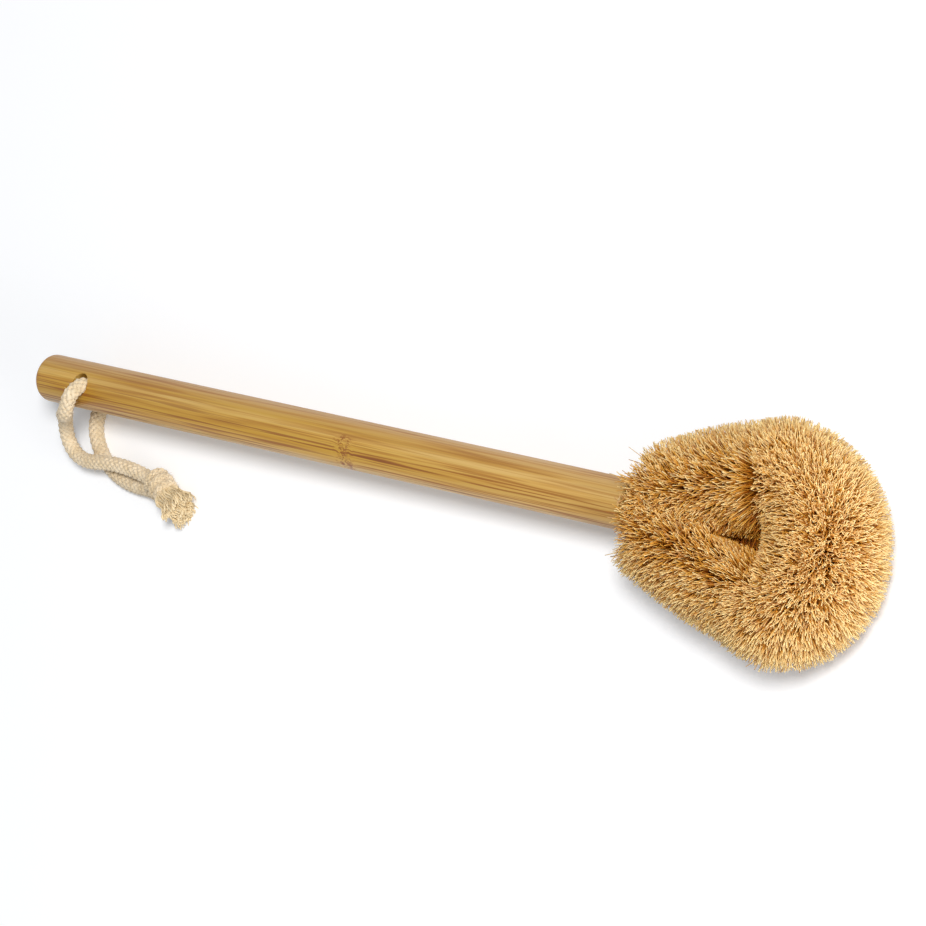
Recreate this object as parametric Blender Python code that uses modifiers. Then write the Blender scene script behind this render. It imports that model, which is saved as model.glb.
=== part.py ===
"""Toilet brush: a turned bamboo handle, a looped strip of coconut fibre on twisted wire, a cotton cord.

The brush lies on its side on a flat surface. +X runs from the handle's tail to the bristle loop, +Z is
up, and the origin is under the middle of the brush, on the surface. Everything is in metres.
"""

import math
import random

import bmesh
import bpy
from mathutils import Matrix, Vector

# Handle: a turned bamboo rod
HANDLE_LENGTH = 0.300
HANDLE_DIAMETER = 0.018
TAIL_EDGE_RADIUS = 0.0022
FRONT_EDGE_RADIUS = 0.0010
HANDLE_SIDES = 48
EDGE_STEPS = 4
HOLE_SIDES = 28

# Cross hole for the hanging cord
HANG_HOLE_DIAMETER = 0.0080
HANG_HOLE_SETBACK = 0.0262
HOLE_RIM_RADIUS = 0.0005

# Twisted wire pair that carries the fibres
WIRE_DIAMETER = 0.0018
WIRE_PITCH = 0.014
WIRE_POINTS_PER_TURN = 7
SHANK_LENGTH = 0.035
CLEARANCE = 0.0003

# Bore in the front end for the two legs of the loop, and the resin that fills its mouth
BORE_DIAMETER = 0.0108
BORE_SPARE_DEPTH = 0.003
COLLAR_LENGTH = 0.008
COLLAR_RECESS = 0.0005

# Teardrop loop of the bristle strip, measured to the core of the strip
LOOP_REACH = 0.083
LOOP_FRONT_RADIUS = 0.0185
LEG_BEND_RADIUS = 0.014

# Fibre strip
BRISTLE_RADIUS = 0.022
ROOT_RADIUS = 0.0036
ROOT_WALL = 0.0011
STRIP_SETBACK = 0.0092
BANDS_PER_SLICE = 6
STRANDS_PER_BAND = 10
STRAND_ROOT_RADIUS = 0.00062
STRAND_TAPER = 0.72
TRIM_SPREAD = 0.0011
SIDE_SPARE = 0.0034
SIDE_SPARE_PLACE_DEGREES = 60
SIDE_SPARE_HALF_DEGREES = 62
STRAND_SWAY = 0.0012
STRAND_SEED = 11
FACET_INSET = 0.0001
INNER_STANDOFF = 0.0066
MIDLINE_STANDOFF = 0.0008
REAR_LEAN_DEGREES = 22
REAR_LEAN_BANDS = 3
FLOOR_CUT = 0.0005
SLICE_NAMES = (
    "bristles_left_rear",
    "bristles_left_middle",
    "bristles_left_front",
    "bristles_tip",
    "bristles_right_front",
    "bristles_right_middle",
    "bristles_right_rear",
)

# Hanging cord: braided cotton, through the cross hole and tied in one knot
CORD_DIAMETER = 0.0052
CORD_STEP = 0.0035
CORD_END_STEP = 0.0006
CORD_SIDES_STEP = 3
CORD_LINE_STEPS = 20
KNOT_CENTRE = (29.4, -31.3, 5.6)
KNOT_LENGTH = 0.0130
KNOT_WIDTH = 0.0112
KNOT_HEIGHT = 0.0112
KNOT_WRAP_RADIUS = 0.0022
KNOT_WRAP_PROUD = 0.0006
KNOT_WRAP_POINTS = 20
KNOT_WRAP_TURN_DEGREES = -28
FRAYED_LENGTH = 0.0165
FRAYED_NECK_RADIUS = 0.0044
FRAYED_END_RADIUS = 0.0066
FRAYED_END_ROUNDING = 0.0025
FRAYED_SIDES = 20
FRAYED_TURN_DEGREES = -34

# Worked out from the sizes above
HANDLE_RADIUS = HANDLE_DIAMETER / 2
WIRE_RADIUS = WIRE_DIAMETER / 2
TWIST_RADIUS = (WIRE_DIAMETER + CLEARANCE) / 2
PAIR_RADIUS = TWIST_RADIUS + WIRE_RADIUS
LEG_OFFSET = PAIR_RADIUS + CLEARANCE / 2
CORD_RADIUS = CORD_DIAMETER / 2
AXIS_HEIGHT = BRISTLE_RADIUS - FLOOR_CUT
OVERALL_LENGTH = HANDLE_LENGTH + LOOP_REACH + BRISTLE_RADIUS
TAIL_X = -OVERALL_LENGTH / 2
MOUTH_X = TAIL_X + HANDLE_LENGTH
HOLE_X = TAIL_X + HANG_HOLE_SETBACK

# Route of the cord's middle line in millimetres: along the handle from the cross hole, across it, and
# up from the surface. It runs from the knot, over the handle's side and down into the cross hole.
CORD_ROUTE_TOP = (
    (25.2, -29.0, 6.9),
    (22.4, -28.7, 6.8),
    (15.8, -27.2, 7.5),
    (9.7, -26.4, 7.9),
    (3.6, -26.4, 8.2),
    (-2.4, -27.1, 8.2),
    (-8.4, -27.9, 7.8),
    (-14.4, -27.9, 7.1),
    (-19.6, -26.0, 7.4),
    (-22.7, -22.3, 8.9),
    (-23.1, -17.8, 11.5),
    (-20.7, -14.2, 15.1),
    (-16.9, -12.7, 19.2),
    (-11.8, -12.8, 24.5),
    (-4.5, -11.4, 30.9),
    (-1.1, -4.1, 33.7),
    (-0.2, 0.2, 30.6),
)

# Down through the cross hole
CORD_ROUTE_HOLE = (
    (0.2, 1.0, 25.5),
    (0.5, 0.8, 22.3),
    (0.5, 0.7, 20.1),
)

# Out of the hole under the handle, down on the surface and along it, under the first stretch, to the knot
CORD_ROUTE_BOTTOM = (
    (0.3, 0.6, 16.5),
    (-0.6, 0.6, 12.4),
    (-2.9, 0.6, 8.3),
    (-6.9, 0.0, 4.9),
    (-11.9, -2.2, 2.9),
    (-15.8, -6.4, 2.2),
    (-17.1, -11.5, 2.1),
    (-15.9, -16.9, 2.1),
    (-13.2, -22.0, 2.1),
    (-9.4, -26.7, 2.1),
    (-4.8, -30.5, 2.1),
    (0.7, -33.0, 2.1),
    (6.7, -34.6, 2.2),
    (12.8, -35.1, 2.5),
    (18.8, -34.6, 3.2),
    (22.4, -33.9, 3.8),
    (25.2, -34.0, 4.1),
)


def remove_everything():
    """Start from an empty file."""
    for old in list(bpy.data.objects):
        bpy.data.objects.remove(old, do_unlink=True)


def collection(name):
    """A new collection under the scene."""
    made = bpy.data.collections.new(name)
    bpy.context.scene.collection.children.link(made)
    return made


def material(name, colour, roughness, metallic=0.0):
    """A plain Principled finish for one piece."""
    made = bpy.data.materials.new(name)
    made.use_nodes = True
    shader = made.node_tree.nodes["Principled BSDF"]
    shader.inputs["Base Color"].default_value = (*colour, 1.0)
    shader.inputs["Roughness"].default_value = roughness
    shader.inputs["Metallic"].default_value = metallic
    made.diffuse_color = (*colour, 1.0)
    return made


def add_object(name, data, home, finish):
    """Link mesh or curve data into a collection as one named piece."""
    made = bpy.data.objects.new(name, data)
    home.objects.link(made)
    if finish is not None:
        data.materials.append(finish)
    return made


def shade_round(mesh, degrees=35):
    """Smooth shading, with true edges kept sharp."""
    mesh.shade_smooth()
    mesh.set_sharp_from_angle(angle=math.radians(degrees))


def mesh_from(bm, name):
    """Turn a bmesh into a mesh that faces outwards."""
    bmesh.ops.recalc_face_normals(bm, faces=bm.faces)
    mesh = bpy.data.meshes.new(name)
    bm.to_mesh(mesh)
    bm.free()
    return mesh


def edge_arc(radius, centre_r, centre_z, start, end, steps):
    """Points (r, z) of a rounded edge in a turned profile, angles in degrees."""
    points = []
    for i in range(steps + 1):
        angle = math.radians(start + (end - start) * i / steps)
        points.append((centre_r + radius * math.cos(angle), centre_z + radius * math.sin(angle)))
    return points


def turned_piece(name, profile, home, finish, steps):
    """A solid of revolution about its own Z axis, from a profile of (r, z) read top to bottom."""
    mesh = bpy.data.meshes.new(name)
    corners = [(r, 0.0, z) for r, z in profile]
    edges = [(i, i + 1) for i in range(len(corners) - 1)]
    mesh.from_pydata(corners, edges, [])
    piece = add_object(name, mesh, home, finish)
    screw = piece.modifiers.new("turned", "SCREW")
    screw.axis = "Z"
    screw.steps = steps
    screw.render_steps = steps
    screw.use_merge_vertices = True
    screw.merge_threshold = 0.00001
    screw.use_smooth_shade = True
    return piece


def cylinder_cutter(name, radius, length, centre, axis, home):
    """A plain round cutter along X or Z."""
    bm = bmesh.new()
    bmesh.ops.create_cone(
        bm, cap_ends=True, segments=HOLE_SIDES, radius1=radius, radius2=radius, depth=length
    )
    cutter = add_object(name, mesh_from(bm, name), home, None)
    cutter.location = centre
    if axis == "X":
        cutter.rotation_euler = (0, math.radians(90), 0)
    cutter.hide_render = True
    cutter.display_type = "WIRE"
    return cutter


def cut(piece, cutter):
    """Subtract a cutter from a piece with an exact Boolean."""
    boolean = piece.modifiers.new("cut_" + cutter.name, "BOOLEAN")
    boolean.operation = "DIFFERENCE"
    boolean.solver = "EXACT"
    boolean.object = cutter


def tube(name, points, radius, resolution, home, finish, capped=True):
    """A round bar of constant radius along a list of points."""
    curve = bpy.data.curves.new(name, "CURVE")
    curve.dimensions = "3D"
    curve.bevel_depth = radius
    curve.bevel_resolution = resolution
    curve.use_fill_caps = capped
    spline = curve.splines.new("POLY")
    spline.points.add(len(points) - 1)
    for slot, point in zip(spline.points, points):
        slot.co = (*point, 1.0)
    spline.use_smooth = True
    return add_object(name, curve, home, finish)


def into_bmesh(piece):
    """The evaluated surface of a curve or a turned profile, caps welded on. The object is removed."""
    evaluated = piece.evaluated_get(bpy.context.evaluated_depsgraph_get())
    mesh = bpy.data.meshes.new_from_object(evaluated)
    bm = bmesh.new()
    bm.from_mesh(mesh)
    bmesh.ops.remove_doubles(bm, verts=bm.verts, dist=0.00001)
    bpy.data.objects.remove(piece, do_unlink=True)
    bpy.data.meshes.remove(mesh)
    return bm


class LoopPath:
    """The core line of the bristle strip: straight lengths and arcs, read by the distance along it.

    It starts inside the handle at the end of the left leg, runs out of the bore, round the teardrop
    and back into the bore along the right leg, all at the height of the handle's axis.
    """

    def __init__(self):
        front_centre = LOOP_REACH - LOOP_FRONT_RADIUS
        across = LEG_OFFSET + LEG_BEND_RADIUS
        between = math.hypot(front_centre, across)
        slope = math.asin((LEG_BEND_RADIUS + LOOP_FRONT_RADIUS) / between)
        self.leg_angle = slope - math.atan2(across, front_centre)
        leg = between * math.cos(slope)
        bend = LEG_BEND_RADIUS * self.leg_angle
        front = LOOP_FRONT_RADIUS * (math.pi + 2 * self.leg_angle)
        # each piece is its length and its curvature, positive to the left
        self.pieces = (
            (SHANK_LENGTH, 0.0),
            (bend, 1 / LEG_BEND_RADIUS),
            (leg, 0.0),
            (front, -1 / LOOP_FRONT_RADIUS),
            (leg, 0.0),
            (bend, 1 / LEG_BEND_RADIUS),
            (SHANK_LENGTH, 0.0),
        )
        self.length = sum(length for length, _ in self.pieces)
        self.arc_start = SHANK_LENGTH + bend + leg
        self.arc_end = self.arc_start + front

    def at(self, distance):
        """The point and the unit tangent at a distance along the core line."""
        x, y, heading = MOUTH_X - SHANK_LENGTH, LEG_OFFSET, 0.0
        left = distance
        for length, curvature in self.pieces:
            step = min(left, length)
            if curvature:
                turn = step * curvature
                x += (math.sin(heading + turn) - math.sin(heading)) / curvature
                y -= (math.cos(heading + turn) - math.cos(heading)) / curvature
                heading += turn
            else:
                x += step * math.cos(heading)
                y += step * math.sin(heading)
            left -= step
            if left <= 0:
                break
        return Vector((x, y, AXIS_HEIGHT)), Vector((math.cos(heading), math.sin(heading), 0.0))

    def side_spare(self, distance):
        """How much further strands reach out on the bend's -Y side, where the trim is off-centre."""
        front_middle = (self.arc_start + self.arc_end) / 2
        place = front_middle + math.radians(SIDE_SPARE_PLACE_DEGREES) * LOOP_FRONT_RADIUS
        away = (distance - place) / (math.radians(SIDE_SPARE_HALF_DEGREES) * LOOP_FRONT_RADIUS)
        return SIDE_SPARE * max(0.0, 1 - away**2)

    def inward_room(self, distance):
        """The inward direction, and how far a strand may reach that way before it meets others."""
        point, tangent = self.at(distance)
        inward = Vector((tangent.y, -tangent.x, 0.0))
        arc_room = LOOP_FRONT_RADIUS - INNER_STANDOFF
        if self.arc_start <= distance <= self.arc_end:
            return inward, arc_room
        leg_room = (abs(point.y) - MIDLINE_STANDOFF) / abs(inward.y)
        return inward, min(leg_room, LOOP_FRONT_RADIUS - MIDLINE_STANDOFF)


def build_handle(home, cutters, finish):
    """The turned bamboo rod with its front bore and its cross hole."""
    tail, front, r = TAIL_EDGE_RADIUS, FRONT_EDGE_RADIUS, HANDLE_RADIUS
    profile = [(0.0, HANDLE_LENGTH)]
    profile += edge_arc(front, r - front, HANDLE_LENGTH - front, 90, 0, EDGE_STEPS)
    profile += edge_arc(tail, r - tail, tail, 0, -90, EDGE_STEPS)
    profile += [(0.0, 0.0)]
    handle = turned_piece("handle", profile, home, finish, HANDLE_SIDES)
    handle.location = (TAIL_X, 0.0, AXIS_HEIGHT)
    handle.rotation_euler = (0, math.radians(90), 0)

    bore_depth = SHANK_LENGTH + BORE_SPARE_DEPTH
    reach_past = 0.01
    bore = cylinder_cutter(
        "bore_cutter",
        BORE_DIAMETER / 2,
        bore_depth + reach_past,
        (MOUTH_X - bore_depth + (bore_depth + reach_past) / 2, 0.0, AXIS_HEIGHT),
        "X",
        cutters,
    )
    hole = cylinder_cutter(
        "hang_hole_cutter",
        HANG_HOLE_DIAMETER / 2,
        HANDLE_DIAMETER + 2 * reach_past,
        (HOLE_X, 0.0, AXIS_HEIGHT),
        "Z",
        cutters,
    )
    cut(handle, bore)
    cut(handle, hole)
    weld = handle.modifiers.new("welded", "WELD")
    weld.merge_threshold = 0.00005
    rim = handle.modifiers.new("rims", "BEVEL")
    rim.width = HOLE_RIM_RADIUS
    rim.segments = 2
    rim.limit_method = "ANGLE"
    rim.angle_limit = math.radians(50)
    return handle


def build_collar(home, cutters, finish):
    """The resin in the bore's mouth, moulded round the two twisted legs."""
    radius = BORE_DIAMETER / 2 - CLEARANCE
    front_x = MOUTH_X - COLLAR_RECESS
    bm = bmesh.new()
    bmesh.ops.create_cone(
        bm, cap_ends=True, segments=HOLE_SIDES, radius1=radius, radius2=radius, depth=COLLAR_LENGTH
    )
    mesh = mesh_from(bm, "resin_collar")
    shade_round(mesh)
    collar = add_object("resin_collar", mesh, home, finish)
    collar.location = (front_x - COLLAR_LENGTH / 2, 0.0, AXIS_HEIGHT)
    collar.rotation_euler = (0, math.radians(90), 0)
    for side, label in ((1, "left"), (-1, "right")):
        leg = cylinder_cutter(
            "leg_cutter_" + label,
            PAIR_RADIUS + CLEARANCE,
            COLLAR_LENGTH * 2,
            (front_x - COLLAR_LENGTH / 2, side * LEG_OFFSET, AXIS_HEIGHT),
            "X",
            cutters,
        )
        cut(collar, leg)
    return collar


def build_wires(path, home, finish):
    """Two wires twisted round the core line from one end of the strip to the other."""
    wires = []
    steps = round(path.length / WIRE_PITCH * WIRE_POINTS_PER_TURN)
    for name, phase in (("wire_strand_a", 0.0), ("wire_strand_b", math.pi)):
        points = []
        for i in range(steps + 1):
            distance = path.length * i / steps
            centre, tangent = path.at(distance)
            side = Vector((-tangent.y, tangent.x, 0.0))
            angle = 2 * math.pi * distance / WIRE_PITCH + phase
            offset = side * math.cos(angle) + Vector((0, 0, 1)) * math.sin(angle)
            points.append(centre + offset * TWIST_RADIUS)
        wires.append(tube(name, points, WIRE_RADIUS, 2, home, finish))
    return wires


def strand_tip(path, distance, root, draw, lean):
    """Where the tip of one strand lies, for a strand that grows from a point on the root sleeve."""
    core, tangent = path.at(distance)
    outward = root - core
    outward -= tangent * outward.dot(tangent)
    outward.normalize()
    inward, room = path.inward_room(distance)
    inward_share = outward.dot(inward)
    reach = BRISTLE_RADIUS - TRIM_SPREAD * draw.random() ** 2
    reach += path.side_spare(distance) * max(0.0, -inward_share)
    if inward_share > room / BRISTLE_RADIUS:
        reach = min(reach, room / inward_share)
    # only a strand that points away from the loop's middle is free to sway or lean
    free = max(0.0, min(1.0, 0.5 - 2 * inward_share))
    sway = STRAND_SWAY * (2 * draw.random() - 1) * free
    backward = math.tan(lean) * (reach - ROOT_RADIUS) * free
    return core + outward * reach + tangent * (sway + backward)


def root_ring(bm, path, distance, radius):
    """A ring of points round the core line, and its edges."""
    centre, tangent = path.at(distance)
    side = Vector((-tangent.y, tangent.x, 0.0))
    up = Vector((0.0, 0.0, 1.0))
    frame = Matrix((side, up, tangent)).transposed().to_4x4()
    made = bmesh.ops.create_circle(
        bm, segments=STRANDS_PER_BAND, radius=radius, matrix=Matrix.Translation(centre) @ frame
    )
    return list({edge for vert in made["verts"] for edge in vert.link_edges})


def build_bristle_slice(name, path, start, end, lean_at, home, finish, draw):
    """One length of the fibre strip: strands fused to a slice of the root sleeve round the wires."""
    bm = bmesh.new()
    stations = [start + (end - start) * i / BANDS_PER_SLICE for i in range(BANDS_PER_SLICE + 1)]
    outer = [root_ring(bm, path, distance, ROOT_RADIUS) for distance in stations]
    inner = [root_ring(bm, path, distance, ROOT_RADIUS - ROOT_WALL) for distance in stations]
    bmesh.ops.bridge_loops(bm, edges=outer[0] + inner[0])
    bmesh.ops.bridge_loops(bm, edges=outer[-1] + inner[-1])
    for ring, following in zip(inner, inner[1:]):
        bmesh.ops.bridge_loops(bm, edges=ring + following)

    # each band gives one strand a facet, on the facet's near half or its far half in turn
    growing = []
    for band, (ring, following) in enumerate(zip(outer, outer[1:])):
        middle = (stations[band] + stations[band + 1]) / 2
        core, tangent = path.at(middle)
        wall = bmesh.ops.bridge_loops(bm, edges=ring + following)["faces"]
        halves = bmesh.ops.triangulate(bm, faces=wall, quad_method="FIXED")["faces"]
        far_half = band % 2 == 1
        for face in halves:
            ahead = (face.calc_center_median() - core).dot(tangent)
            if (ahead > 0) == far_half:
                growing.append((face, middle + ahead))

    bmesh.ops.recalc_face_normals(bm, faces=bm.faces)
    bmesh.ops.inset_individual(bm, faces=[face for face, _ in growing], thickness=FACET_INSET)
    for face, distance in growing:
        root = face.calc_center_median()
        normal = face.normal.copy()
        first = face.verts[0].co - root
        for i, vert in enumerate(face.verts):
            spoke = Matrix.Rotation(2 * math.pi * i / 3, 3, normal) @ first
            vert.co = root + spoke.normalized() * STRAND_ROOT_RADIUS
        tip = strand_tip(path, distance, root, draw, lean_at(distance))
        grown = bmesh.ops.extrude_discrete_faces(bm, faces=[face])["faces"][0]
        for vert in grown.verts:
            vert.co = tip + (vert.co - root) * STRAND_TAPER

    # the strands that reach the surface are trimmed flat by it
    for vert in bm.verts:
        vert.co.z = max(vert.co.z, 0.0)
    return add_object(name, mesh_from(bm, name), home, finish)


def build_bristles(path, home, finish):
    """The whole fibre strip, in neighbouring slices from the left leg round to the right one."""
    draw = random.Random(STRAND_SEED)
    first = SHANK_LENGTH + STRIP_SETBACK
    slice_length = (path.length - 2 * first) / len(SLICE_NAMES)
    lean_length = slice_length / BANDS_PER_SLICE * REAR_LEAN_BANDS

    def lean_at(distance):
        """The fibres at the two ends of the strip lean back towards the handle."""
        from_start = distance - first
        from_end = path.length - first - distance
        share = max(0.0, 1 - min(from_start, from_end) / lean_length)
        direction = -1 if from_start < from_end else 1
        return direction * share * math.radians(REAR_LEAN_DEGREES)

    for i, name in enumerate(SLICE_NAMES):
        start = first + slice_length * i + CLEARANCE / 2
        end = first + slice_length * (i + 1) - CLEARANCE / 2
        build_bristle_slice(name, path, start, end, lean_at, home, finish, draw)


def on_the_brush(point):
    """A point of the cord's route, measured from the cross hole, in the brush's own frame."""
    x, y, z = point
    return Vector((HOLE_X + x / 1000, y / 1000, z / 1000))


def smooth_line(points, steps):
    """A dense smooth line through the points, with steps points for each stretch between two."""
    ends = [points[0] * 2 - points[1]] + points + [points[-1] * 2 - points[-2]]
    line = []
    for before, start, end, after in zip(ends, ends[1:], ends[2:], ends[3:]):
        chord = (end - start).length
        leave = ((start - before) / (start - before).length + (end - start) / chord) / 2
        arrive = ((end - start) / chord + (after - end) / (after - end).length) / 2
        for i in range(steps):
            t = i / steps
            line.append(
                start * (2 * t**3 - 3 * t**2 + 1)
                + leave * chord * (t**3 - 2 * t**2 + t)
                + end * (3 * t**2 - 2 * t**3)
                + arrive * chord * (t**3 - t**2)
            )
    line.append(points[-1])
    return line


def evenly(line, step, trim_start=0.0, trim_end=0.0):
    """Points at even distances along a dense line, after trimming its ends."""
    travelled = [0.0]
    for start, end in zip(line, line[1:]):
        travelled.append(travelled[-1] + (end - start).length)
    low, high = trim_start, travelled[-1] - trim_end
    count = round((high - low) / step)
    stops = [low + (high - low) * i / count for i in range(1, count)]
    # a short first and last step sets the end caps square to the line
    stops = [low, low + CORD_END_STEP, *stops, high - CORD_END_STEP, high]
    points = []
    spot = 0
    for wanted in stops:
        while spot < len(line) - 2 and travelled[spot + 1] < wanted:
            spot += 1
        share = (wanted - travelled[spot]) / (travelled[spot + 1] - travelled[spot])
        points.append(line[spot].lerp(line[spot + 1], share))
    return points


def laid_on_the_surface(bm):
    """Press what would lie below the surface flat onto it."""
    for vert in bm.verts:
        vert.co.z = max(vert.co.z, 0.0)


def build_cord(home, cutters, finish):
    """The hanging cord in three stretches: over the handle, through it and under it."""
    route = [on_the_brush(point) for point in CORD_ROUTE_TOP + CORD_ROUTE_HOLE + CORD_ROUTE_BOTTOM]
    steps = CORD_LINE_STEPS
    line = smooth_line(route, steps)
    upper_mouth = len(CORD_ROUTE_TOP) * steps - steps // 2
    lower_mouth = (len(CORD_ROUTE_TOP) + len(CORD_ROUTE_HOLE)) * steps - steps // 2
    half_gap = CLEARANCE / 2
    stretches = (
        ("hanging_cord_top", line[: upper_mouth + 1], 0.0, half_gap),
        ("hanging_cord_hole", line[upper_mouth : lower_mouth + 1], half_gap, half_gap),
        ("hanging_cord_bottom", line[lower_mouth:], half_gap, 0.0),
    )
    for name, part, trim_start, trim_end in stretches:
        points = evenly(part, CORD_STEP, trim_start, trim_end)
        bm = into_bmesh(tube(name, points, CORD_RADIUS, CORD_SIDES_STEP, home, None))
        laid_on_the_surface(bm)
        mesh = mesh_from(bm, name)
        shade_round(mesh)
        add_object(name, mesh, home, finish)

    # the two ends sit in sockets of the knot
    sockets = []
    ends = (("socket_top", line[0], line[steps]), ("socket_bottom", line[-1], line[-steps]))
    for name, end, inner in ends:
        direction = (end - inner).normalized()
        points = [end - direction * CORD_DIAMETER * 2, end + direction * CLEARANCE]
        bm = into_bmesh(tube(name, points, CORD_RADIUS + CLEARANCE, CORD_SIDES_STEP, cutters, None))
        socket = add_object(name, mesh_from(bm, name), cutters, None)
        socket.hide_render = True
        socket.display_type = "WIRE"
        sockets.append(socket)
    return sockets


def build_knot(home, cutters, sockets, finish):
    """The overhand knot: a lump with the cord's wrap across it."""
    centre = on_the_brush(KNOT_CENTRE)
    lump = (KNOT_LENGTH, KNOT_WIDTH - 2 * KNOT_WRAP_PROUD, KNOT_HEIGHT - 2 * KNOT_WRAP_PROUD)
    bm = bmesh.new()
    bmesh.ops.create_uvsphere(bm, u_segments=20, v_segments=12, radius=0.5)
    bmesh.ops.scale(bm, vec=lump, verts=bm.verts)
    bmesh.ops.translate(bm, vec=centre, verts=bm.verts)
    laid_on_the_surface(bm)
    knot = add_object("cord_knot", mesh_from(bm, "cord_knot"), home, finish)

    across = KNOT_WIDTH / 2 - KNOT_WRAP_RADIUS
    upwards = KNOT_HEIGHT / 2 - KNOT_WRAP_RADIUS
    turn = Matrix.Rotation(math.radians(KNOT_WRAP_TURN_DEGREES), 3, "Z")
    points = []
    for i in range(KNOT_WRAP_POINTS):
        angle = 2 * math.pi * i / KNOT_WRAP_POINTS
        around = Vector((0.0, across * math.cos(angle), upwards * math.sin(angle)))
        points.append(turn @ around + centre)
    ring = tube("wrap_ring", points, KNOT_WRAP_RADIUS, CORD_SIDES_STEP, cutters, None, capped=False)
    ring.data.splines[0].use_cyclic_u = True
    bm = into_bmesh(ring)
    laid_on_the_surface(bm)
    wrap = add_object("wrap_ring", mesh_from(bm, "wrap_ring"), cutters, None)
    wrap.hide_render = True
    wrap.display_type = "WIRE"
    union = knot.modifiers.new("wrap", "BOOLEAN")
    union.operation = "UNION"
    union.solver = "EXACT"
    union.object = wrap
    for socket in sockets:
        cut(knot, socket)


def build_frayed_end(home, finish):
    """The cord's two frayed ends, one tuft that flares out behind the knot."""
    neck, end, length = FRAYED_NECK_RADIUS, FRAYED_END_RADIUS, FRAYED_LENGTH
    rounding = FRAYED_END_ROUNDING
    profile = [(0.0, length)]
    profile += edge_arc(rounding, end - rounding, length - rounding, 90, 0, 2)
    profile += [(neck, 0.0), (0.0, 0.0)]
    turned = turned_piece("frayed_profile", profile, home, None, FRAYED_SIDES)
    bm = into_bmesh(turned)
    heading = Matrix.Rotation(math.radians(FRAYED_TURN_DEGREES), 4, "Z")
    lie_down = Matrix.Rotation(math.radians(90), 4, "Y")
    ahead = heading.to_3x3() @ Vector((1.0, 0.0, 0.0))
    lump_width = KNOT_WIDTH - 2 * KNOT_WRAP_PROUD
    knot_reach = math.hypot(KNOT_LENGTH / 2 * ahead.x, lump_width / 2 * ahead.y)
    start = on_the_brush(KNOT_CENTRE) + ahead * (knot_reach + CLEARANCE)
    bmesh.ops.transform(bm, matrix=Matrix.Translation(start) @ heading @ lie_down, verts=bm.verts)
    laid_on_the_surface(bm)
    mesh = mesh_from(bm, "cord_frayed_end")
    shade_round(mesh)
    add_object("cord_frayed_end", mesh, home, finish)


def build_brush():
    """Every piece of the brush."""
    remove_everything()
    home = collection("toilet_brush")
    cutters = collection("cutters")
    bamboo = material("turned_bamboo", (0.52, 0.31, 0.12), 0.55)
    steel = material("galvanised_wire", (0.62, 0.62, 0.60), 0.35, 1.0)
    resin = material("set_resin", (0.55, 0.42, 0.22), 0.4)
    coir = material("coconut_fibre", (0.70, 0.48, 0.24), 0.8)
    cotton = material("cotton_cord", (0.80, 0.72, 0.58), 0.9)

    path = LoopPath()
    build_handle(home, cutters, bamboo)
    build_collar(home, cutters, resin)
    build_wires(path, home, steel)
    build_bristles(path, home, coir)
    sockets = build_cord(home, cutters, cotton)
    build_knot(home, cutters, sockets, cotton)
    build_frayed_end(home, cotton)


build_brush()
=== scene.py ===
# %% [markdown]
# # A toilet brush of bamboo, coconut fibre and cotton cord
#
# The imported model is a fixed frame: every size and place comes from it. This script dresses it. It
# sets up the camera first, then makes the hanging cord, the handle and the fibres, and lights them
# last. Everything is in metres, with the brush lying along X on the surface at Z = 0.

import math

import bmesh
import bpy
import numpy as np
from mathutils import Matrix, Vector, kdtree


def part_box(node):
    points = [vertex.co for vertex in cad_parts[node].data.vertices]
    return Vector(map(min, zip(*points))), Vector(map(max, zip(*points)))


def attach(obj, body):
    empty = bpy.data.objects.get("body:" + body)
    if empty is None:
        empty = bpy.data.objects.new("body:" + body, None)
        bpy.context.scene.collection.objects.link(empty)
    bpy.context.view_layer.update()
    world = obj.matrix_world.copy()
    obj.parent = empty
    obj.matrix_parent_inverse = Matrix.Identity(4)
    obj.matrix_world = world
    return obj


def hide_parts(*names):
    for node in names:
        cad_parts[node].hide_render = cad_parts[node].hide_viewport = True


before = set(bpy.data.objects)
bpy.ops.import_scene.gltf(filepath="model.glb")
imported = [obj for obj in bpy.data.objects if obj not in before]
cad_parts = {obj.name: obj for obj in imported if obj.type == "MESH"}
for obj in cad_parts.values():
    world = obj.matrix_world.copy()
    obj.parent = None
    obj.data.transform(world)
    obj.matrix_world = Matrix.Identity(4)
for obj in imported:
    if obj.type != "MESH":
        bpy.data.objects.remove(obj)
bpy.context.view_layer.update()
print("solids in the frame:", len(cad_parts))

# %% [markdown]
# ## Sizes shared by several pieces
#
# The handle's own box gives its diameter, its ends and the height of its axis. The distances of the
# hole and of the loop are those of the brush's construction.

# %% Sizes taken from the handle
handle_low, handle_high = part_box("handle")
HANDLE_RADIUS = (handle_high.z - handle_low.z) / 2
AXIS_HEIGHT = (handle_high.z + handle_low.z) / 2
TAIL_X, MOUTH_X = handle_low.x, handle_high.x
HOLE_X = TAIL_X + 0.0262
print(f"handle {MOUTH_X - TAIL_X:.3f} m long, {HANDLE_RADIUS * 2:.4f} m thick, axis at {AXIS_HEIGHT:.4f} m")

# %% [markdown]
# ## Camera
#
# The photograph was taken from beyond the bristle head, looking down at it at 47 degrees, with a long
# lens that hardly narrows the handle. The picture is then turned, so that the handle runs across it.
# A camera looks along its own -Z, with X to the right and Y up, so its three axes can be written
# straight into its matrix.

# %% Camera
LENS_MM = 177.0
CAMERA_PLACE = Vector((1.09519, 0.0019, 1.17886))
CAMERA_TILT = math.radians(47)
CAMERA_ROLL = math.radians(12.4524)
FARTHEST_SEEN = 20


def in_scene(name, data):
    """A new object in the scene, which holds a mesh, a camera or a lamp."""
    made = bpy.data.objects.new(name, data)
    bpy.context.scene.collection.objects.link(made)
    return made


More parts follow.
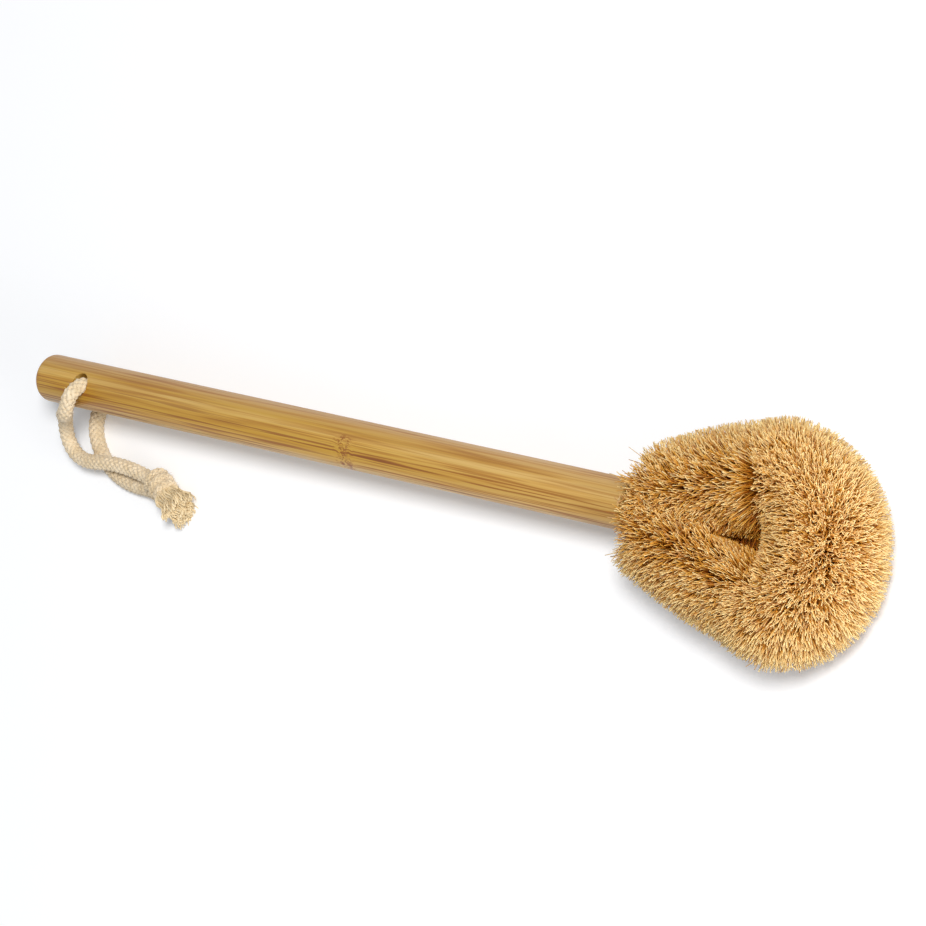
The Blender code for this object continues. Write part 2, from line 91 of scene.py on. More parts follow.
forward = Vector((-math.cos(CAMERA_TILT), 0, -math.sin(CAMERA_TILT)))
level_up = Vector((-math.sin(CAMERA_TILT), 0, math.cos(CAMERA_TILT)))
level_right = Vector((0, 1, 0))
right = level_right * math.sin(CAMERA_ROLL) - level_up * math.cos(CAMERA_ROLL)
up = level_right * math.cos(CAMERA_ROLL) + level_up * math.sin(CAMERA_ROLL)

camera = in_scene("camera", bpy.data.cameras.new("camera"))
camera.data.lens = LENS_MM
camera.data.clip_end = FARTHEST_SEEN
camera.matrix_world = Matrix.Translation(CAMERA_PLACE) @ Matrix((right, up, -forward)).transposed().to_4x4()
bpy.context.scene.camera = camera
print("camera to mouth of the handle:", round((CAMERA_PLACE - Vector((MOUTH_X, 0, 0))).length, 3), "m")

# %% [markdown]
# ## Colours and shader nodes
#
# Colours are written as sRGB hex values, as a paint program shows them. Shaders count in linear light,
# so one function turns them. A second function adds a shader node with its settings and its links,
# which keeps each material short enough to read.

# %% Helpers for materials
def linear(hex_value):
    """An sRGB hex colour as linear red, green, blue and alpha."""
    channels = [int(hex_value[i : i + 2], 16) / 255 for i in (0, 2, 4)]
    return (*[c / 12.92 if c <= 0.04045 else ((c + 0.055) / 1.055) ** 2.4 for c in channels], 1.0)


def finish_named(name):
    """A new material, with its Principled shader."""
    made = bpy.data.materials.new(name)
    made.use_nodes = True
    return made, made.node_tree.nodes["Principled BSDF"]


def add_node(finish, kind, inputs=(), stops=(), **settings):
    """Add a shader node. Inputs are pairs of a socket and a value, or a node and its output."""
    made = finish.node_tree.nodes.new("ShaderNode" + kind)
    for name, value in settings.items():
        setattr(made, name, value)
    for i, (place, hex_value) in enumerate(stops):
        stop = made.color_ramp.elements[i] if i < 2 else made.color_ramp.elements.new(place)
        stop.position, stop.color = place, linear(hex_value)
    join(finish, made, inputs)
    return made


def join(finish, node, inputs):
    """Set or link the inputs of a node."""
    for socket, value in inputs:
        if isinstance(value, tuple) and isinstance(value[0], bpy.types.Node):
            finish.node_tree.links.new(value[0].outputs[value[1]], node.inputs[socket])
        else:
            node.inputs[socket].default_value = value


# %% [markdown]
# ## Strands
#
# Coconut fibres, cotton yarns and frayed threads are all long thin things, in their thousands. One
# prism is modelled with bmesh: a cone of even width with three to twelve sides, cut into rings. An
# Array modifier copies it, and numpy then lays each copy along its own line. That makes real
# geometry, which casts shadows and shows from every side, where a hair system would not be part of
# the mesh.

# %% Strands laid along lines
def as_mesh(bm, name):
    """What a bmesh holds, as a new mesh."""
    mesh = bpy.data.meshes.new(name)
    bm.to_mesh(mesh)
    bm.free()
    return mesh


def modified(piece):
    """The mesh of a piece, as its modifiers leave it."""
    return bpy.data.meshes.new_from_object(piece.evaluated_get(bpy.context.evaluated_depsgraph_get()))


def show(name, mesh, finish):
    """Put a finished mesh in the scene as a piece that moves with the brush."""
    mesh.name = name
    mesh.materials.clear()
    mesh.materials.append(finish)
    piece = in_scene(name, mesh)
    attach(piece, "root")
    return piece


def prism(sides, rings):
    """A closed prism of radius 1 along Z from 0 to 1, with evenly spaced rings."""
    bm = bmesh.new()
    bmesh.ops.create_cone(bm, cap_ends=True, segments=sides, radius1=1, radius2=1, depth=1)
    bmesh.ops.translate(bm, vec=(0, 0, 0.5), verts=bm.verts)
    long_edges = [e for e in bm.edges if abs(e.verts[0].co.z - e.verts[1].co.z) > 0.5]
    if rings > 2:
        bmesh.ops.subdivide_edges(bm, edges=long_edges, cuts=rings - 2)
    return as_mesh(bm, "prism")


def copies(mesh, count):
    """The same mesh many times over in one mesh."""
    single = in_scene("single", mesh)
    array = single.modifiers.new("copies", "ARRAY")
    array.count = count
    array.use_relative_offset = False
    made = modified(single)
    bpy.data.objects.remove(single)
    return made


def strands(centres, across, upward, sides, tone, shade_ramp_reach=1.0):
    """A mesh of strands. Centres, across and upward are arrays of strand, ring and XYZ."""
    count, rings = centres.shape[:2]
    single = prism(sides, rings)
    corner = np.array([v.co for v in single.vertices])
    ring = np.rint(corner[:, 2] * (rings - 1)).astype(int)
    mesh = copies(single, count)
    places = centres[:, ring] + across[:, ring] * corner[:, :1] + upward[:, ring] * corner[:, 1:2]
    mesh.vertices.foreach_set("co", places.astype(np.float32).ravel())
    # the map holds each strand's tone and the share of its length, cut short by its painted shade
    corners = np.zeros(len(single.loops), dtype=int)
    single.loops.foreach_get("vertex_index", corners)
    layer = mesh.uv_layers.new(name="OFBake")
    uv = np.empty((count, len(corners), 2), dtype=np.float32)
    uv[:, :, 0] = np.asarray(tone)[:, None]
    uv[:, :, 1] = np.minimum(ring[corners] / (rings - 1) * np.reshape(shade_ramp_reach, (-1, 1)), 1)
    layer.data.foreach_set("uv", uv.ravel())
    mesh.shade_smooth()
    mesh.update()
    bpy.data.meshes.remove(single)
    return mesh


def merged(meshes):
    """Several meshes as one."""
    bm = bmesh.new()
    for mesh in meshes:
        bm.from_mesh(mesh)
        bpy.data.meshes.remove(mesh)
    return as_mesh(bm, "merged")


def unit(vectors):
    """Vectors of length 1 along the last axis."""
    return vectors / np.maximum(np.linalg.norm(vectors, axis=-1, keepdims=True), 1e-12)


def square_to(direction, hint):
    """Two unit vectors square to a direction and to each other, the second close to a hint."""
    across = unit(np.cross(direction, hint))
    return across, unit(np.cross(across, direction))


# %% [markdown]
# ## The hanging cord's route
#
# The cord is a 5.2 mm round braid of undyed cotton. It goes over the handle's side into the cross hole,
# comes out underneath, lies on the surface and meets its other end in a knot. The points are the
# middle line of the cord in the brush's construction, in millimetres from the cross hole. A smooth
# line is drawn through them, and its lower and upper halves become two pieces that meet in the hole.

# %% Route of the cord
CORD_DIAMETER = 0.0052
STEPS_PER_STRETCH = 40
FEWEST_POINTS = 4
CORD_ROUTE_TOP = (
    (25.2, -29.0, 6.9), (22.4, -28.8, 6.8), (15.8, -27.7, 7.5), (9.7, -27.1, 7.9),
    (3.6, -27.0, 8.2), (-2.4, -27.4, 8.2), (-8.4, -28.0, 7.8), (-14.4, -27.9, 7.1),
    (-19.6, -26.0, 7.4), (-22.7, -22.3, 8.9), (-23.1, -17.8, 11.5), (-20.7, -14.2, 15.1),
    (-16.9, -12.7, 19.2), (-11.6, -12.8, 24.6), (-3.9, -11.2, 31.1), (0.3, -4.5, 33.9),
    (1.0, -0.7, 30.7), (0.9, -0.1, 25.5), (0.6, 0.4, 22.3),
)
CORD_ROUTE_BOTTOM = (
    (0.6, 0.4, 22.3), (0.6, 0.4, 20.1), (0.4, 0.5, 16.5), (-0.6, 0.6, 12.4),
    (-2.9, 0.6, 8.3), (-6.9, 0.0, 4.9), (-11.9, -2.2, 2.9), (-15.8, -6.4, 2.3),
    (-17.1, -11.5, 2.3), (-15.9, -16.9, 2.3), (-12.8, -21.6, 2.3), (-8.5, -25.7, 2.3),
    (-3.6, -28.9, 2.3), (1.8, -31.2, 2.3), (7.5, -32.6, 2.4), (13.2, -33.2, 2.6),
    (18.9, -33.3, 3.2), (22.4, -33.4, 3.8), (25.2, -33.6, 4.1),
)


def smooth_line(points, spacing):
    """Evenly spaced points on a smooth line through the given ones."""
    points = np.asarray(points, dtype=float)
    ends = np.vstack([2 * points[0] - points[1], points, 2 * points[-1] - points[-2]])
    directions = unit(np.diff(ends, axis=0))
    tangents = (directions[:-1] + directions[1:]) / 2
    line = []
    for start, end, leave, arrive in zip(points, points[1:], tangents, tangents[1:]):
        chord = np.linalg.norm(end - start)
        t = np.linspace(0, 1, STEPS_PER_STRETCH, endpoint=False)[:, None]
        line.append(
            start * (2 * t**3 - 3 * t**2 + 1)
            + leave * chord * (t**3 - 2 * t**2 + t)
            + end * (3 * t**2 - 2 * t**3)
            + arrive * chord * (t**3 - t**2)
        )
    line = np.vstack([*line, points[-1:]])
    travelled = np.r_[0, np.cumsum(np.linalg.norm(np.diff(line, axis=0), axis=1))]
    stops = np.linspace(0, travelled[-1], max(FEWEST_POINTS, round(travelled[-1] / spacing)))
    return np.stack([np.interp(stops, travelled, line[:, i]) for i in range(3)], axis=1), travelled[-1]


def on_the_brush(points):
    """Millimetres from the cross hole as metres on the brush."""
    return np.asarray(points, dtype=float) / 1000 + np.array([HOLE_X, 0, 0])


# %% [markdown]
# ## A round braid
#
# Twelve yarns make the cord, six that wind to the left and six to the right, each over one and under
# the next. A yarn is a flat oval strand on a helix. Its distance from the cord's middle swings once
# for every yarn that it crosses, and the two directions swing opposite ways, so that they never meet.
# A plain core under them closes the gaps. The helix needs a frame that runs along the line without
# twisting, and it is found by carrying one direction from point to point. A limp braid opens out, so
# it is made 15% thicker than the cord is when drawn tight. It can also be fuller at its start, as
# this cord is where it comes out under the handle.

# %% Braided cord along a line
LOOSENESS = 1.15
BRAID_PITCH = 0.0130
YARNS_EACH_WAY = 6
YARN_HALF_WIDTH = 0.00076
YARN_HALF_THICKNESS = 0.00054
YARN_SWING = 0.00036
YARN_SIDES = 8
RINGS_PER_CROSSING = 4
CORE_DEPTH = 0.3
CORE_SIDES = 12
CORE_RING_STEP = 8
SWELL_LENGTH = 0.032
LOWEST_YARN = 0.00002


def carried_frame(line):
    """Unit tangents, and two directions square to them that don't twist along the line."""
    tangents = unit(np.gradient(line, axis=0))
    across = np.zeros_like(line)
    carried = np.cross(tangents[0], [0.0, 0.0, 1.0])
    for i, tangent in enumerate(tangents):
        carried = unit(carried - tangent * (carried @ tangent))
        across[i] = carried
    return tangents, across, np.cross(tangents, across)


def braid(points, diameter, swell=0.0):
    """Braided cord along a smooth line through the points, fuller at its start by a share, swell."""
    size = diameter / CORD_DIAMETER
    pitch = BRAID_PITCH * size
    line, length = smooth_line(points, pitch / (2 * YARNS_EACH_WAY * RINGS_PER_CROSSING))
    tangents, across, upward = carried_frame(line)
    travelled = np.linspace(0, length, len(line))
    middle = diameter / 2 - (YARN_HALF_THICKNESS + YARN_SWING) * size
    middle = middle * (1 + swell * np.exp(-((travelled / SWELL_LENGTH) ** 2)))
    wound = 2 * math.pi * travelled / pitch
    centres, wide, thick, tone = [], [], [], []
    for way in (1, -1):
        for yarn in range(YARNS_EACH_WAY):
            angle = way * wound + 2 * math.pi * yarn / YARNS_EACH_WAY
            out = across * np.cos(angle)[:, None] + upward * np.sin(angle)[:, None]
            distance = middle + way * YARN_SWING * size * np.cos(YARNS_EACH_WAY * wound)
            place = line + out * distance[:, None]
            along = unit(np.gradient(place, axis=0))
            sideways = unit(np.cross(along, out))
            centres.append(place)
            wide.append(sideways * YARN_HALF_WIDTH * size)
            thick.append(np.cross(sideways, along) * YARN_HALF_THICKNESS * size)
            tone.append((yarn * 2 + (way > 0)) / (2 * YARNS_EACH_WAY))
    yarns = strands(np.array(centres), np.array(wide), np.array(thick), YARN_SIDES, tone)
    core_radius = (middle - YARN_HALF_THICKNESS * size * CORE_DEPTH)[:, None]
    thin = slice(None, None, CORE_RING_STEP)
    wide_core, high_core = (across * core_radius)[None, thin], (upward * core_radius)[None, thin]
    core = strands(line[None, thin], wide_core, high_core, CORE_SIDES, [0.5])
    mesh = merged([yarns, core])
    rest_on_surface(mesh)
    return mesh, line, length


def rest_on_surface(mesh):
    """Press what would sink below the surface flat onto it."""
    places = np.empty(len(mesh.vertices) * 3, dtype=np.float32)
    mesh.vertices.foreach_get("co", places)
    places[2::3] = np.maximum(places[2::3], LOWEST_YARN)
    mesh.vertices.foreach_set("co", places)
    mesh.update()


# %% [markdown]
# ## Cotton
#
# Undyed cotton is cream, quite matt, and a little uneven, because raw fibre keeps its natural shades
# and small brown flecks of seed case. The braid's form is in the mesh, so the material only adds the
# fine thread, about 0.3 mm wide, as a bump, with flecks from a Voronoi pattern of 3.6 mm cells.

# %% Undyed cotton material
THREAD_WIDTH = 0.0003
FLECK_CELL = 0.0036
COTTON_SHADE_SCALE = 260.0
cotton, shader = finish_named("undyed_braided_cotton")
place = add_node(cotton, "TexCoord")
object_place = ("Vector", (place, "Object"))
shade = add_node(cotton, "TexNoise", [object_place, ("Scale", COTTON_SHADE_SCALE), ("Detail", 3.0)])
shade_ramp = add_node(
    cotton, "ValToRGB", [("Fac", (shade, "Fac"))], stops=[(0.3, "CBB590"), (0.7, "DECCAE")]
)
cells = add_node(cotton, "TexVoronoi", [object_place, ("Scale", 1 / FLECK_CELL)], feature="F1")
flecks = add_node(
    cotton, "ValToRGB", [("Fac", (cells, "Distance"))], stops=[(0.05, "6B5543"), (0.08, "FFFFFF")]
)
mixed = add_node(cotton, "Mix", data_type="RGBA", blend_type="MULTIPLY")
join(cotton, mixed, [(0, 1.0), (6, (shade_ramp, "Color")), (7, (flecks, "Color"))])
threads = add_node(cotton, "TexNoise", [object_place, ("Scale", 1 / THREAD_WIDTH), ("Detail", 2.0)])
bump = add_node(
    cotton, "Bump", [("Height", (threads, "Fac")), ("Strength", 0.3), ("Distance", THREAD_WIDTH)]
)
join(
    cotton,
    shader,
    [
        ("Base Color", (mixed, 2)),
        ("Normal", (bump, "Normal")),
        ("Roughness", 0.92),
        ("Sheen Weight", 0.25),
        ("Sheen Roughness", 0.6),
    ],
)
print("material:", cotton.name)

# %% [markdown]
# ## The two halves of the cord
#
# Both halves leave the handle at the hole's mouths and end in the knot. Loose cotton hairs stand off a
# braid, and they give it its soft edge, so a few hundred are scattered over each half: thin strands of
# one or two millimetres that lean along the cord.

# %% Fuzz on a cord
HAIR_RADII = np.array([0.000045, 0.00004, 0.00002])
HAIR_SIDES = 3
HAIR_REACH = (0.0007, 0.0021)
HAIR_OUTWARD = (0.15, 0.9)
HAIR_STRAY = 0.3
HAIR_BOW = 0.35
HAIR_ROOT_SHARE = 0.9
LOWEST_HAIR = 0.0001


def fuzz(line, radius, count, draw):
    """Loose hairs on a cord of a radius round a line."""
    spot = draw.integers(2, len(line) - 2, count)
    tangents, across, upward = carried_frame(line)
    angle = draw.uniform(0, 2 * math.pi, count)[:, None]
    out = across[spot] * np.cos(angle) + upward[spot] * np.sin(angle)
    root = line[spot] + out * radius * HAIR_ROOT_SHARE
    root[:, 2] = np.maximum(root[:, 2], LOWEST_HAIR)
    lean = tangents[spot] * draw.normal(0, 1, (count, 1)) + out * draw.uniform(*HAIR_OUTWARD, (count, 1))
    lean = unit(lean + draw.normal(0, HAIR_STRAY, (count, 3)))
    reach = draw.uniform(*HAIR_REACH, (count, 1))
    tip = root + lean * reach
    bow = (root + tip) / 2 + out * reach * draw.uniform(0.0, HAIR_BOW, (count, 1))
    centres = np.stack([root, bow, tip], axis=1)
    centres[:, :, 2] = np.maximum(centres[:, :, 2], LOWEST_HAIR)
    side, other = square_to(lean, out)
    side, other = side[:, None] * HAIR_RADII[:, None], other[:, None] * HAIR_RADII[:, None]
    return strands(centres, side, other, HAIR_SIDES, draw.uniform(0, 1, count))


# %% Braided cord over and under the handle
HAIRS_OVER = 500
HAIRS_UNDER = 450
SWELL_UNDER = 0.34
draw = np.random.default_rng(5)
loose = CORD_DIAMETER * LOOSENESS
upper_mesh, upper_line, upper_length = braid(on_the_brush(CORD_ROUTE_TOP[::-1]), loose)
lower_mesh, lower_line, lower_length = braid(on_the_brush(CORD_ROUTE_BOTTOM), loose, SWELL_UNDER)
upper_mesh = merged([upper_mesh, fuzz(upper_line, CORD_DIAMETER / 2, HAIRS_OVER, draw)])
lower_mesh = merged([lower_mesh, fuzz(lower_line, CORD_DIAMETER / 2, HAIRS_UNDER, draw)])
cord_over = show("braided_cord_over_handle", upper_mesh, cotton)
cord_under = show("braided_cord_under_handle", lower_mesh, cotton)
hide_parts("hanging_cord_top", "hanging_cord_hole")
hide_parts("hanging_cord_bottom")
print(f"cord {upper_length + lower_length:.3f} m from knot to knot")

# %% [markdown]
# ## Knot
#
# Both ends of the cord are tied together in one overhand knot. From outside it shows turns of the
# doubled cord, pulled flat, round a firm middle. Three turns are short lengths of the same braid on
# oval rings, a little slimmer because they are under tension, and the middle is a rounded lump.

# %% Knot of the doubled cord
KNOT_CENTRE = on_the_brush((29.4, -31.3, 5.6))
KNOT_LENGTH = 0.0122
KNOT_WIDTH = 0.0110
KNOT_TURN = math.radians(-28)
KNOT_CORD = 0.0043
KNOT_SLACK = 0.0002
KNOT_RADIUS = KNOT_WIDTH / 2 - KNOT_CORD / 2 + KNOT_SLACK
KNOT_HAIRS = 260
KNOT_HAIR_SPAN = 0.005
KNOT_HAIR_PLACES = 40
LUMP_LENGTH = KNOT_LENGTH * 0.93
LUMP_WIDTH = KNOT_WIDTH * 0.84
# each turn's place along the knot, its lean, and its share of the knot's radius
KNOT_TURNS = ((-0.0040, 0.06, 0.94), (-0.0003, 0.12, 1.0), (0.0034, 0.22, 0.90))
TURN_POINTS = 22
TURN_OVERLAP = 0.3
TURN_START = 2.2
TURN_WIDTH_SHARE = 1.04
TURN_HEIGHT_SHARE = 0.98
TURN_DRIFT = 0.0004
TURN_TUCK = 0.45


def knot_turn(offset, lean, radius):
    """One turn of cord round the knot, at an offset along the knot's axis, with its ends tucked in."""
    angles = np.linspace(-TURN_OVERLAP, 2 * math.pi + TURN_OVERLAP, TURN_POINTS)
    ring = np.stack(
        [
            offset + lean * np.cos(angles) * radius + TURN_DRIFT * (angles / math.pi - 1),
            np.cos(angles - TURN_START) * radius * TURN_WIDTH_SHARE,
            np.sin(angles - TURN_START) * radius * TURN_HEIGHT_SHARE,
        ],
        axis=1,
    )
    ring[[0, -1]] *= TURN_TUCK
    turned = np.array(Matrix.Rotation(KNOT_TURN, 3, "Z"))
    return braid(ring @ turned.T + KNOT_CENTRE, KNOT_CORD)[0]


bm = bmesh.new()
bmesh.ops.create_icosphere(bm, subdivisions=4, radius=0.5)
bmesh.ops.scale(bm, vec=(LUMP_LENGTH, LUMP_WIDTH, LUMP_WIDTH), verts=bm.verts)
bmesh.ops.rotate(bm, matrix=Matrix.Rotation(KNOT_TURN, 3, "Z"), verts=bm.verts)
bmesh.ops.translate(bm, vec=KNOT_CENTRE, verts=bm.verts)
lump = as_mesh(bm, "lump")
lump.shade_smooth()
turns = [knot_turn(offset, lean, KNOT_RADIUS * share) for offset, lean, share in KNOT_TURNS]
knot_axis = np.array([math.cos(KNOT_TURN), math.sin(KNOT_TURN), 0])
along_knot = np.linspace(-KNOT_HAIR_SPAN, KNOT_HAIR_SPAN, KNOT_HAIR_PLACES)[:, None]
knot_line = KNOT_CENTRE + along_knot * knot_axis
knot_mesh = merged([lump, *turns, fuzz(knot_line, KNOT_WIDTH / 2, KNOT_HAIRS, draw)])
knot = show("cord_knot_tied", knot_mesh, cotton)
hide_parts("cord_knot")
print("knot triangles:", sum(len(f.vertices) - 2 for f in knot.data.polygons))

# %% [markdown]
# ## Frayed ends
#
# Behind the knot the braid is undone, and its threads spread like a stiff little brush. Each thread is
# a strand of nine rings. The threads of a yarn wave together, and each has a small wave of its own.
# They start close together in the knot and end on a blunt, uneven face. They have their own finish,
# yellower than the braid's and made lighter with painted light against the shade the packed threads
# cast on each other, and in it every thread has a shade of its own.

# %% Frayed threads
TUFT_LENGTH = 0.0155
TUFT_START = 0.0030
TUFT_NECK = 0.0036
TUFT_END = 0.0070
TUFT_OPENING = 0.55
TUFT_TURN = math.radians(-29)
TUFT_YARNS = 16
TUFT_RINGS = 9
THREADS_PER_YARN = 28
THREAD_RADIUS = 0.00023
THREAD_SIDES = 5
THREAD_SPREAD = (0.7, 1.3)
THREAD_TAPER = (1.1, 0.8)
YARN_SPREAD = 0.82
YARN_WAVE = 0.0007
YARN_PACE = (5, 9)
YARN_CUT = 0.0026
THREAD_STRAY = 0.15
THREAD_WAVE = 0.00025
THREAD_PACE = 14
THREAD_CUT = 0.0012
ROUNDED_FACE = 0.0015
ANY_PHASE = (0, 6.28)


def spiral_places(count):
    """Evenly spread places in a disk of radius 1."""
    turn = np.arange(count) * math.pi * (3 - math.sqrt(5))
    return np.stack([np.cos(turn), np.sin(turn)], axis=1) * np.sqrt((np.arange(count) + 0.5) / count)[:, None]


def frayed_threads(draw):
    """Threads that fan out from the knot, in loose yarns that wave together."""
    count = TUFT_YARNS * THREADS_PER_YARN
    t = np.linspace(0, 1, TUFT_RINGS)
    yarn = np.repeat(np.arange(TUFT_YARNS), THREADS_PER_YARN)
    yarn_place = spiral_places(TUFT_YARNS)[yarn] * YARN_SPREAD
    own_place = draw.normal(0, THREAD_STRAY, (count, 2))
    spread = (TUFT_NECK + (TUFT_END - TUFT_NECK) * t**TUFT_OPENING)[None, :, None]
    yarn_phase = draw.uniform(*ANY_PHASE, (TUFT_YARNS, 1, 2))[yarn]
    own_phase = draw.uniform(*ANY_PHASE, (count, 1, 2))
    pace = draw.uniform(*YARN_PACE, (TUFT_YARNS, 1, 1))[yarn]
    wave = YARN_WAVE * np.sin(t[None, :, None] * pace + yarn_phase)
    wave = wave + THREAD_WAVE * np.sin(t[None, :, None] * THREAD_PACE + own_phase)
    aside = (yarn_place + own_place)[:, None] * spread + wave * np.sqrt(t)[None, :, None]
    reach = TUFT_LENGTH - draw.uniform(0, YARN_CUT, TUFT_YARNS)[yarn] - draw.uniform(0, THREAD_CUT, count)
    reach -= ROUNDED_FACE * np.linalg.norm(yarn_place, axis=1) ** 2
    own = np.concatenate([(TUFT_START + reach[:, None] * t)[:, :, None], aside], axis=2)
    turned = np.array(Matrix.Rotation(TUFT_TURN, 3, "Z"))
    centres = own @ turned.T + KNOT_CENTRE
    centres[:, :, 2] = np.maximum(centres[:, :, 2], THREAD_RADIUS)
    side, other = square_to(unit(centres[:, -1] - centres[:, 0]), np.array([0.0, 0.0, 1.0]))
    thick = THREAD_RADIUS * draw.uniform(*THREAD_SPREAD, (count, 1, 1))
    thick = thick * np.linspace(*THREAD_TAPER, TUFT_RINGS)[:, None]
    side, other = side[:, None] * thick, other[:, None] * thick
    return strands(centres, side, other, THREAD_SIDES, draw.uniform(0, 1, count))


thread, shader = finish_named("undyed_cotton_thread")
map_place = add_node(thread, "UVMap", uv_map="OFBake")
apart = add_node(thread, "SeparateXYZ", [("Vector", (map_place, "UV"))])
# painted light: these shades are lighter than the braid's, to lift the tuft's own shade
shades = add_node(thread, "ValToRGB", [("Fac", (apart, "X"))], stops=[(0.0, "D8C094"), (1.0, "ECDAB6")])
join(thread, shader, [("Base Color", (shades, "Color")), ("Roughness", 0.85), ("Specular IOR Level", 0.2)])
tuft = show("frayed_cord_ends", frayed_threads(draw), thread)
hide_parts("cord_frayed_end")
print("threads in the frayed ends:", TUFT_YARNS * THREADS_PER_YARN)

# %% [markdown]
# ## Handle
#
# The handle is a bamboo rod turned to 18 mm, with a soft edge at the tail and a drilled cross hole. A
# lathe is what Spin does: half of the rod's outline is drawn once and swept round the axis. The bore
# and the hole are cut with exact Booleans, and the hole's rims are eased with a small bevel.

# %% Turned handle
HOLE_DIAMETER = 0.0080
BORE_DIAMETER = 0.0108
BORE_DEPTH = 0.038
DRILL_SIDES = 64
TAIL_EDGE_RADIUS = 0.0022
FRONT_EDGE_RADIUS = 0.0010
EDGE_STEPS = 6
RIM_RADIUS = 0.0005
RIM_STEPS = 3
RIM_ANGLE = math.radians(50)
SHARP_ANGLE = math.radians(40)
ROUND_STEPS = 128
SAME_POINT = 0.000001
SLIVER = 0.00002


def drill(radius, depth, place, axis):
    """A round cutter, to be taken away from the handle."""
    bm = bmesh.new()
    bmesh.ops.create_cone(
        bm, cap_ends=True, segments=DRILL_SIDES, radius1=radius, radius2=radius, depth=depth
    )
    if axis == "X":
        bmesh.ops.rotate(bm, matrix=Matrix.Rotation(math.radians(90), 3, "Y"), verts=bm.verts)
    bmesh.ops.translate(bm, vec=place, verts=bm.verts)
    return in_scene("drill", as_mesh(bm, "drill"))


def turned_rod():
    """The rod's outline, spun about the handle's axis."""
    outline = [(TAIL_X, 0.0)]
    rounded_edges = (
        (TAIL_X + TAIL_EDGE_RADIUS, TAIL_EDGE_RADIUS, 180),
        (MOUTH_X - FRONT_EDGE_RADIUS, FRONT_EDGE_RADIUS, 90),
    )
    for x, radius, start in rounded_edges:
        for step in range(EDGE_STEPS + 1):
            angle = math.radians(start - 90 / EDGE_STEPS * step)
            outline.append((x + radius * math.cos(angle), HANDLE_RADIUS - radius + radius * math.sin(angle)))
    outline.append((MOUTH_X, 0.0))
    bm = bmesh.new()
    row = [bm.verts.new((x, 0, AXIS_HEIGHT + r)) for x, r in outline]
    edges = [bm.edges.new(pair) for pair in zip(row, row[1:])]
    bmesh.ops.spin(
        bm,
        geom=row + edges,
        cent=(0, 0, AXIS_HEIGHT),
        axis=(1, 0, 0),
        angle=2 * math.pi,
        steps=ROUND_STEPS,
        use_merge=True,
    )
    bmesh.ops.remove_doubles(bm, verts=bm.verts, dist=SAME_POINT)
    bmesh.ops.recalc_face_normals(bm, faces=bm.faces)
    return as_mesh(bm, "rod")


def drilled(mesh, cutters):
    """The mesh with the cutters taken away."""
    whole = in_scene("whole", mesh)
    for cutter in cutters:
        cut = whole.modifiers.new("cut", "BOOLEAN")
        cut.operation, cut.solver, cut.object = "DIFFERENCE", "EXACT", cutter
    made = modified(whole)
    for spare in (whole, *cutters):
        bpy.data.objects.remove(spare)
    return made


bore = drill(BORE_DIAMETER / 2, 2 * BORE_DEPTH, (MOUTH_X, 0, AXIS_HEIGHT), "X")
cross_hole = drill(HOLE_DIAMETER / 2, HANDLE_RADIUS * 4, (HOLE_X, 0, AXIS_HEIGHT), "Z")
rod = drilled(turned_rod(), [bore, cross_hole])
bm = bmesh.new()
bm.from_mesh(rod)
bmesh.ops.remove_doubles(bm, verts=bm.verts, dist=SLIVER)
rims = [e for e in bm.edges if len(e.link_faces) == 2 and e.calc_face_angle() > RIM_ANGLE]
bmesh.ops.bevel(
    bm,
    geom=rims,
    offset=RIM_RADIUS,
    segments=RIM_STEPS,
    profile=0.5,
    affect="EDGES",
    material=-1,
    clamp_overlap=True,
)
bm.to_mesh(rod)
bm.free()
rod.shade_smooth()
rod.set_sharp_from_angle(angle=SHARP_ANGLE)
print("handle triangles:", sum(len(f.vertices) - 2 for f in rod.polygons))

# %% [markdown]
# ## Bamboo
#
# Bamboo has no growth rings. Its wood is pale ground tissue with bundles of dark fibre, a third of a
# millimetre thick, that run the whole length. So the grain is noise stretched along X: it draws long
# streaks on the side and dots on the end, as the real rod shows. One knot of the cane, a node, crosses
# the rod 168 mm from the tail. There the bundles swerve, short dark ones curl in a wavering seam, and
# others end in flecks beside it. The finish is fine sanding and a little oil, which is satin and not
# glossy.

# %% Zone of the node
NODE_X = TAIL_X + 0.168
NODE_LENGTH = 0.004
NODE_SIDES = (0.0035, 0.0010)
NODE_TOP_FADE = 0.002
# the sockets of a Map Range node, in order
RANGE = ("From Min", "From Max", "To Min", "To Max")
bamboo, shader = finish_named("turned_bamboo_oiled")
place = add_node(bamboo, "TexCoord")
object_place = ("Vector", (place, "Object"))
apart = add_node(bamboo, "SeparateXYZ", [object_place])
from_node = add_node(bamboo, "Math", [(0, (apart, "X")), (1, NODE_X)], operation="SUBTRACT")

# a bell-shaped zone round its place, 4 mm to each side, on the strip that faces up
squared = add_node(bamboo, "Math", [(0, (from_node, 0)), (1, 2.0)], operation="POWER")
scaled = add_node(bamboo, "Math", [(0, (squared, 0)), (1, -1 / NODE_LENGTH**2)], operation="MULTIPLY")
bell = add_node(bamboo, "Math", [(0, (scaled, 0))], operation="EXPONENT")
sides = [("Value", (apart, "Y")), *zip(RANGE, NODE_SIDES)]
strip = add_node(bamboo, "MapRange", sides, interpolation_type="SMOOTHSTEP")
heights = (AXIS_HEIGHT - NODE_TOP_FADE, AXIS_HEIGHT + NODE_TOP_FADE)
above = [("Value", (apart, "Z")), *zip(RANGE, heights)]
upper_side = add_node(bamboo, "MapRange", above, interpolation_type="SMOOTHSTEP")
zone = add_node(bamboo, "Math", [(0, (strip, 0)), (1, (upper_side, 0))], operation="MULTIPLY")
node_zone = add_node(bamboo, "Math", [(0, (zone, 0)), (1, (bell, 0))], operation="MULTIPLY")

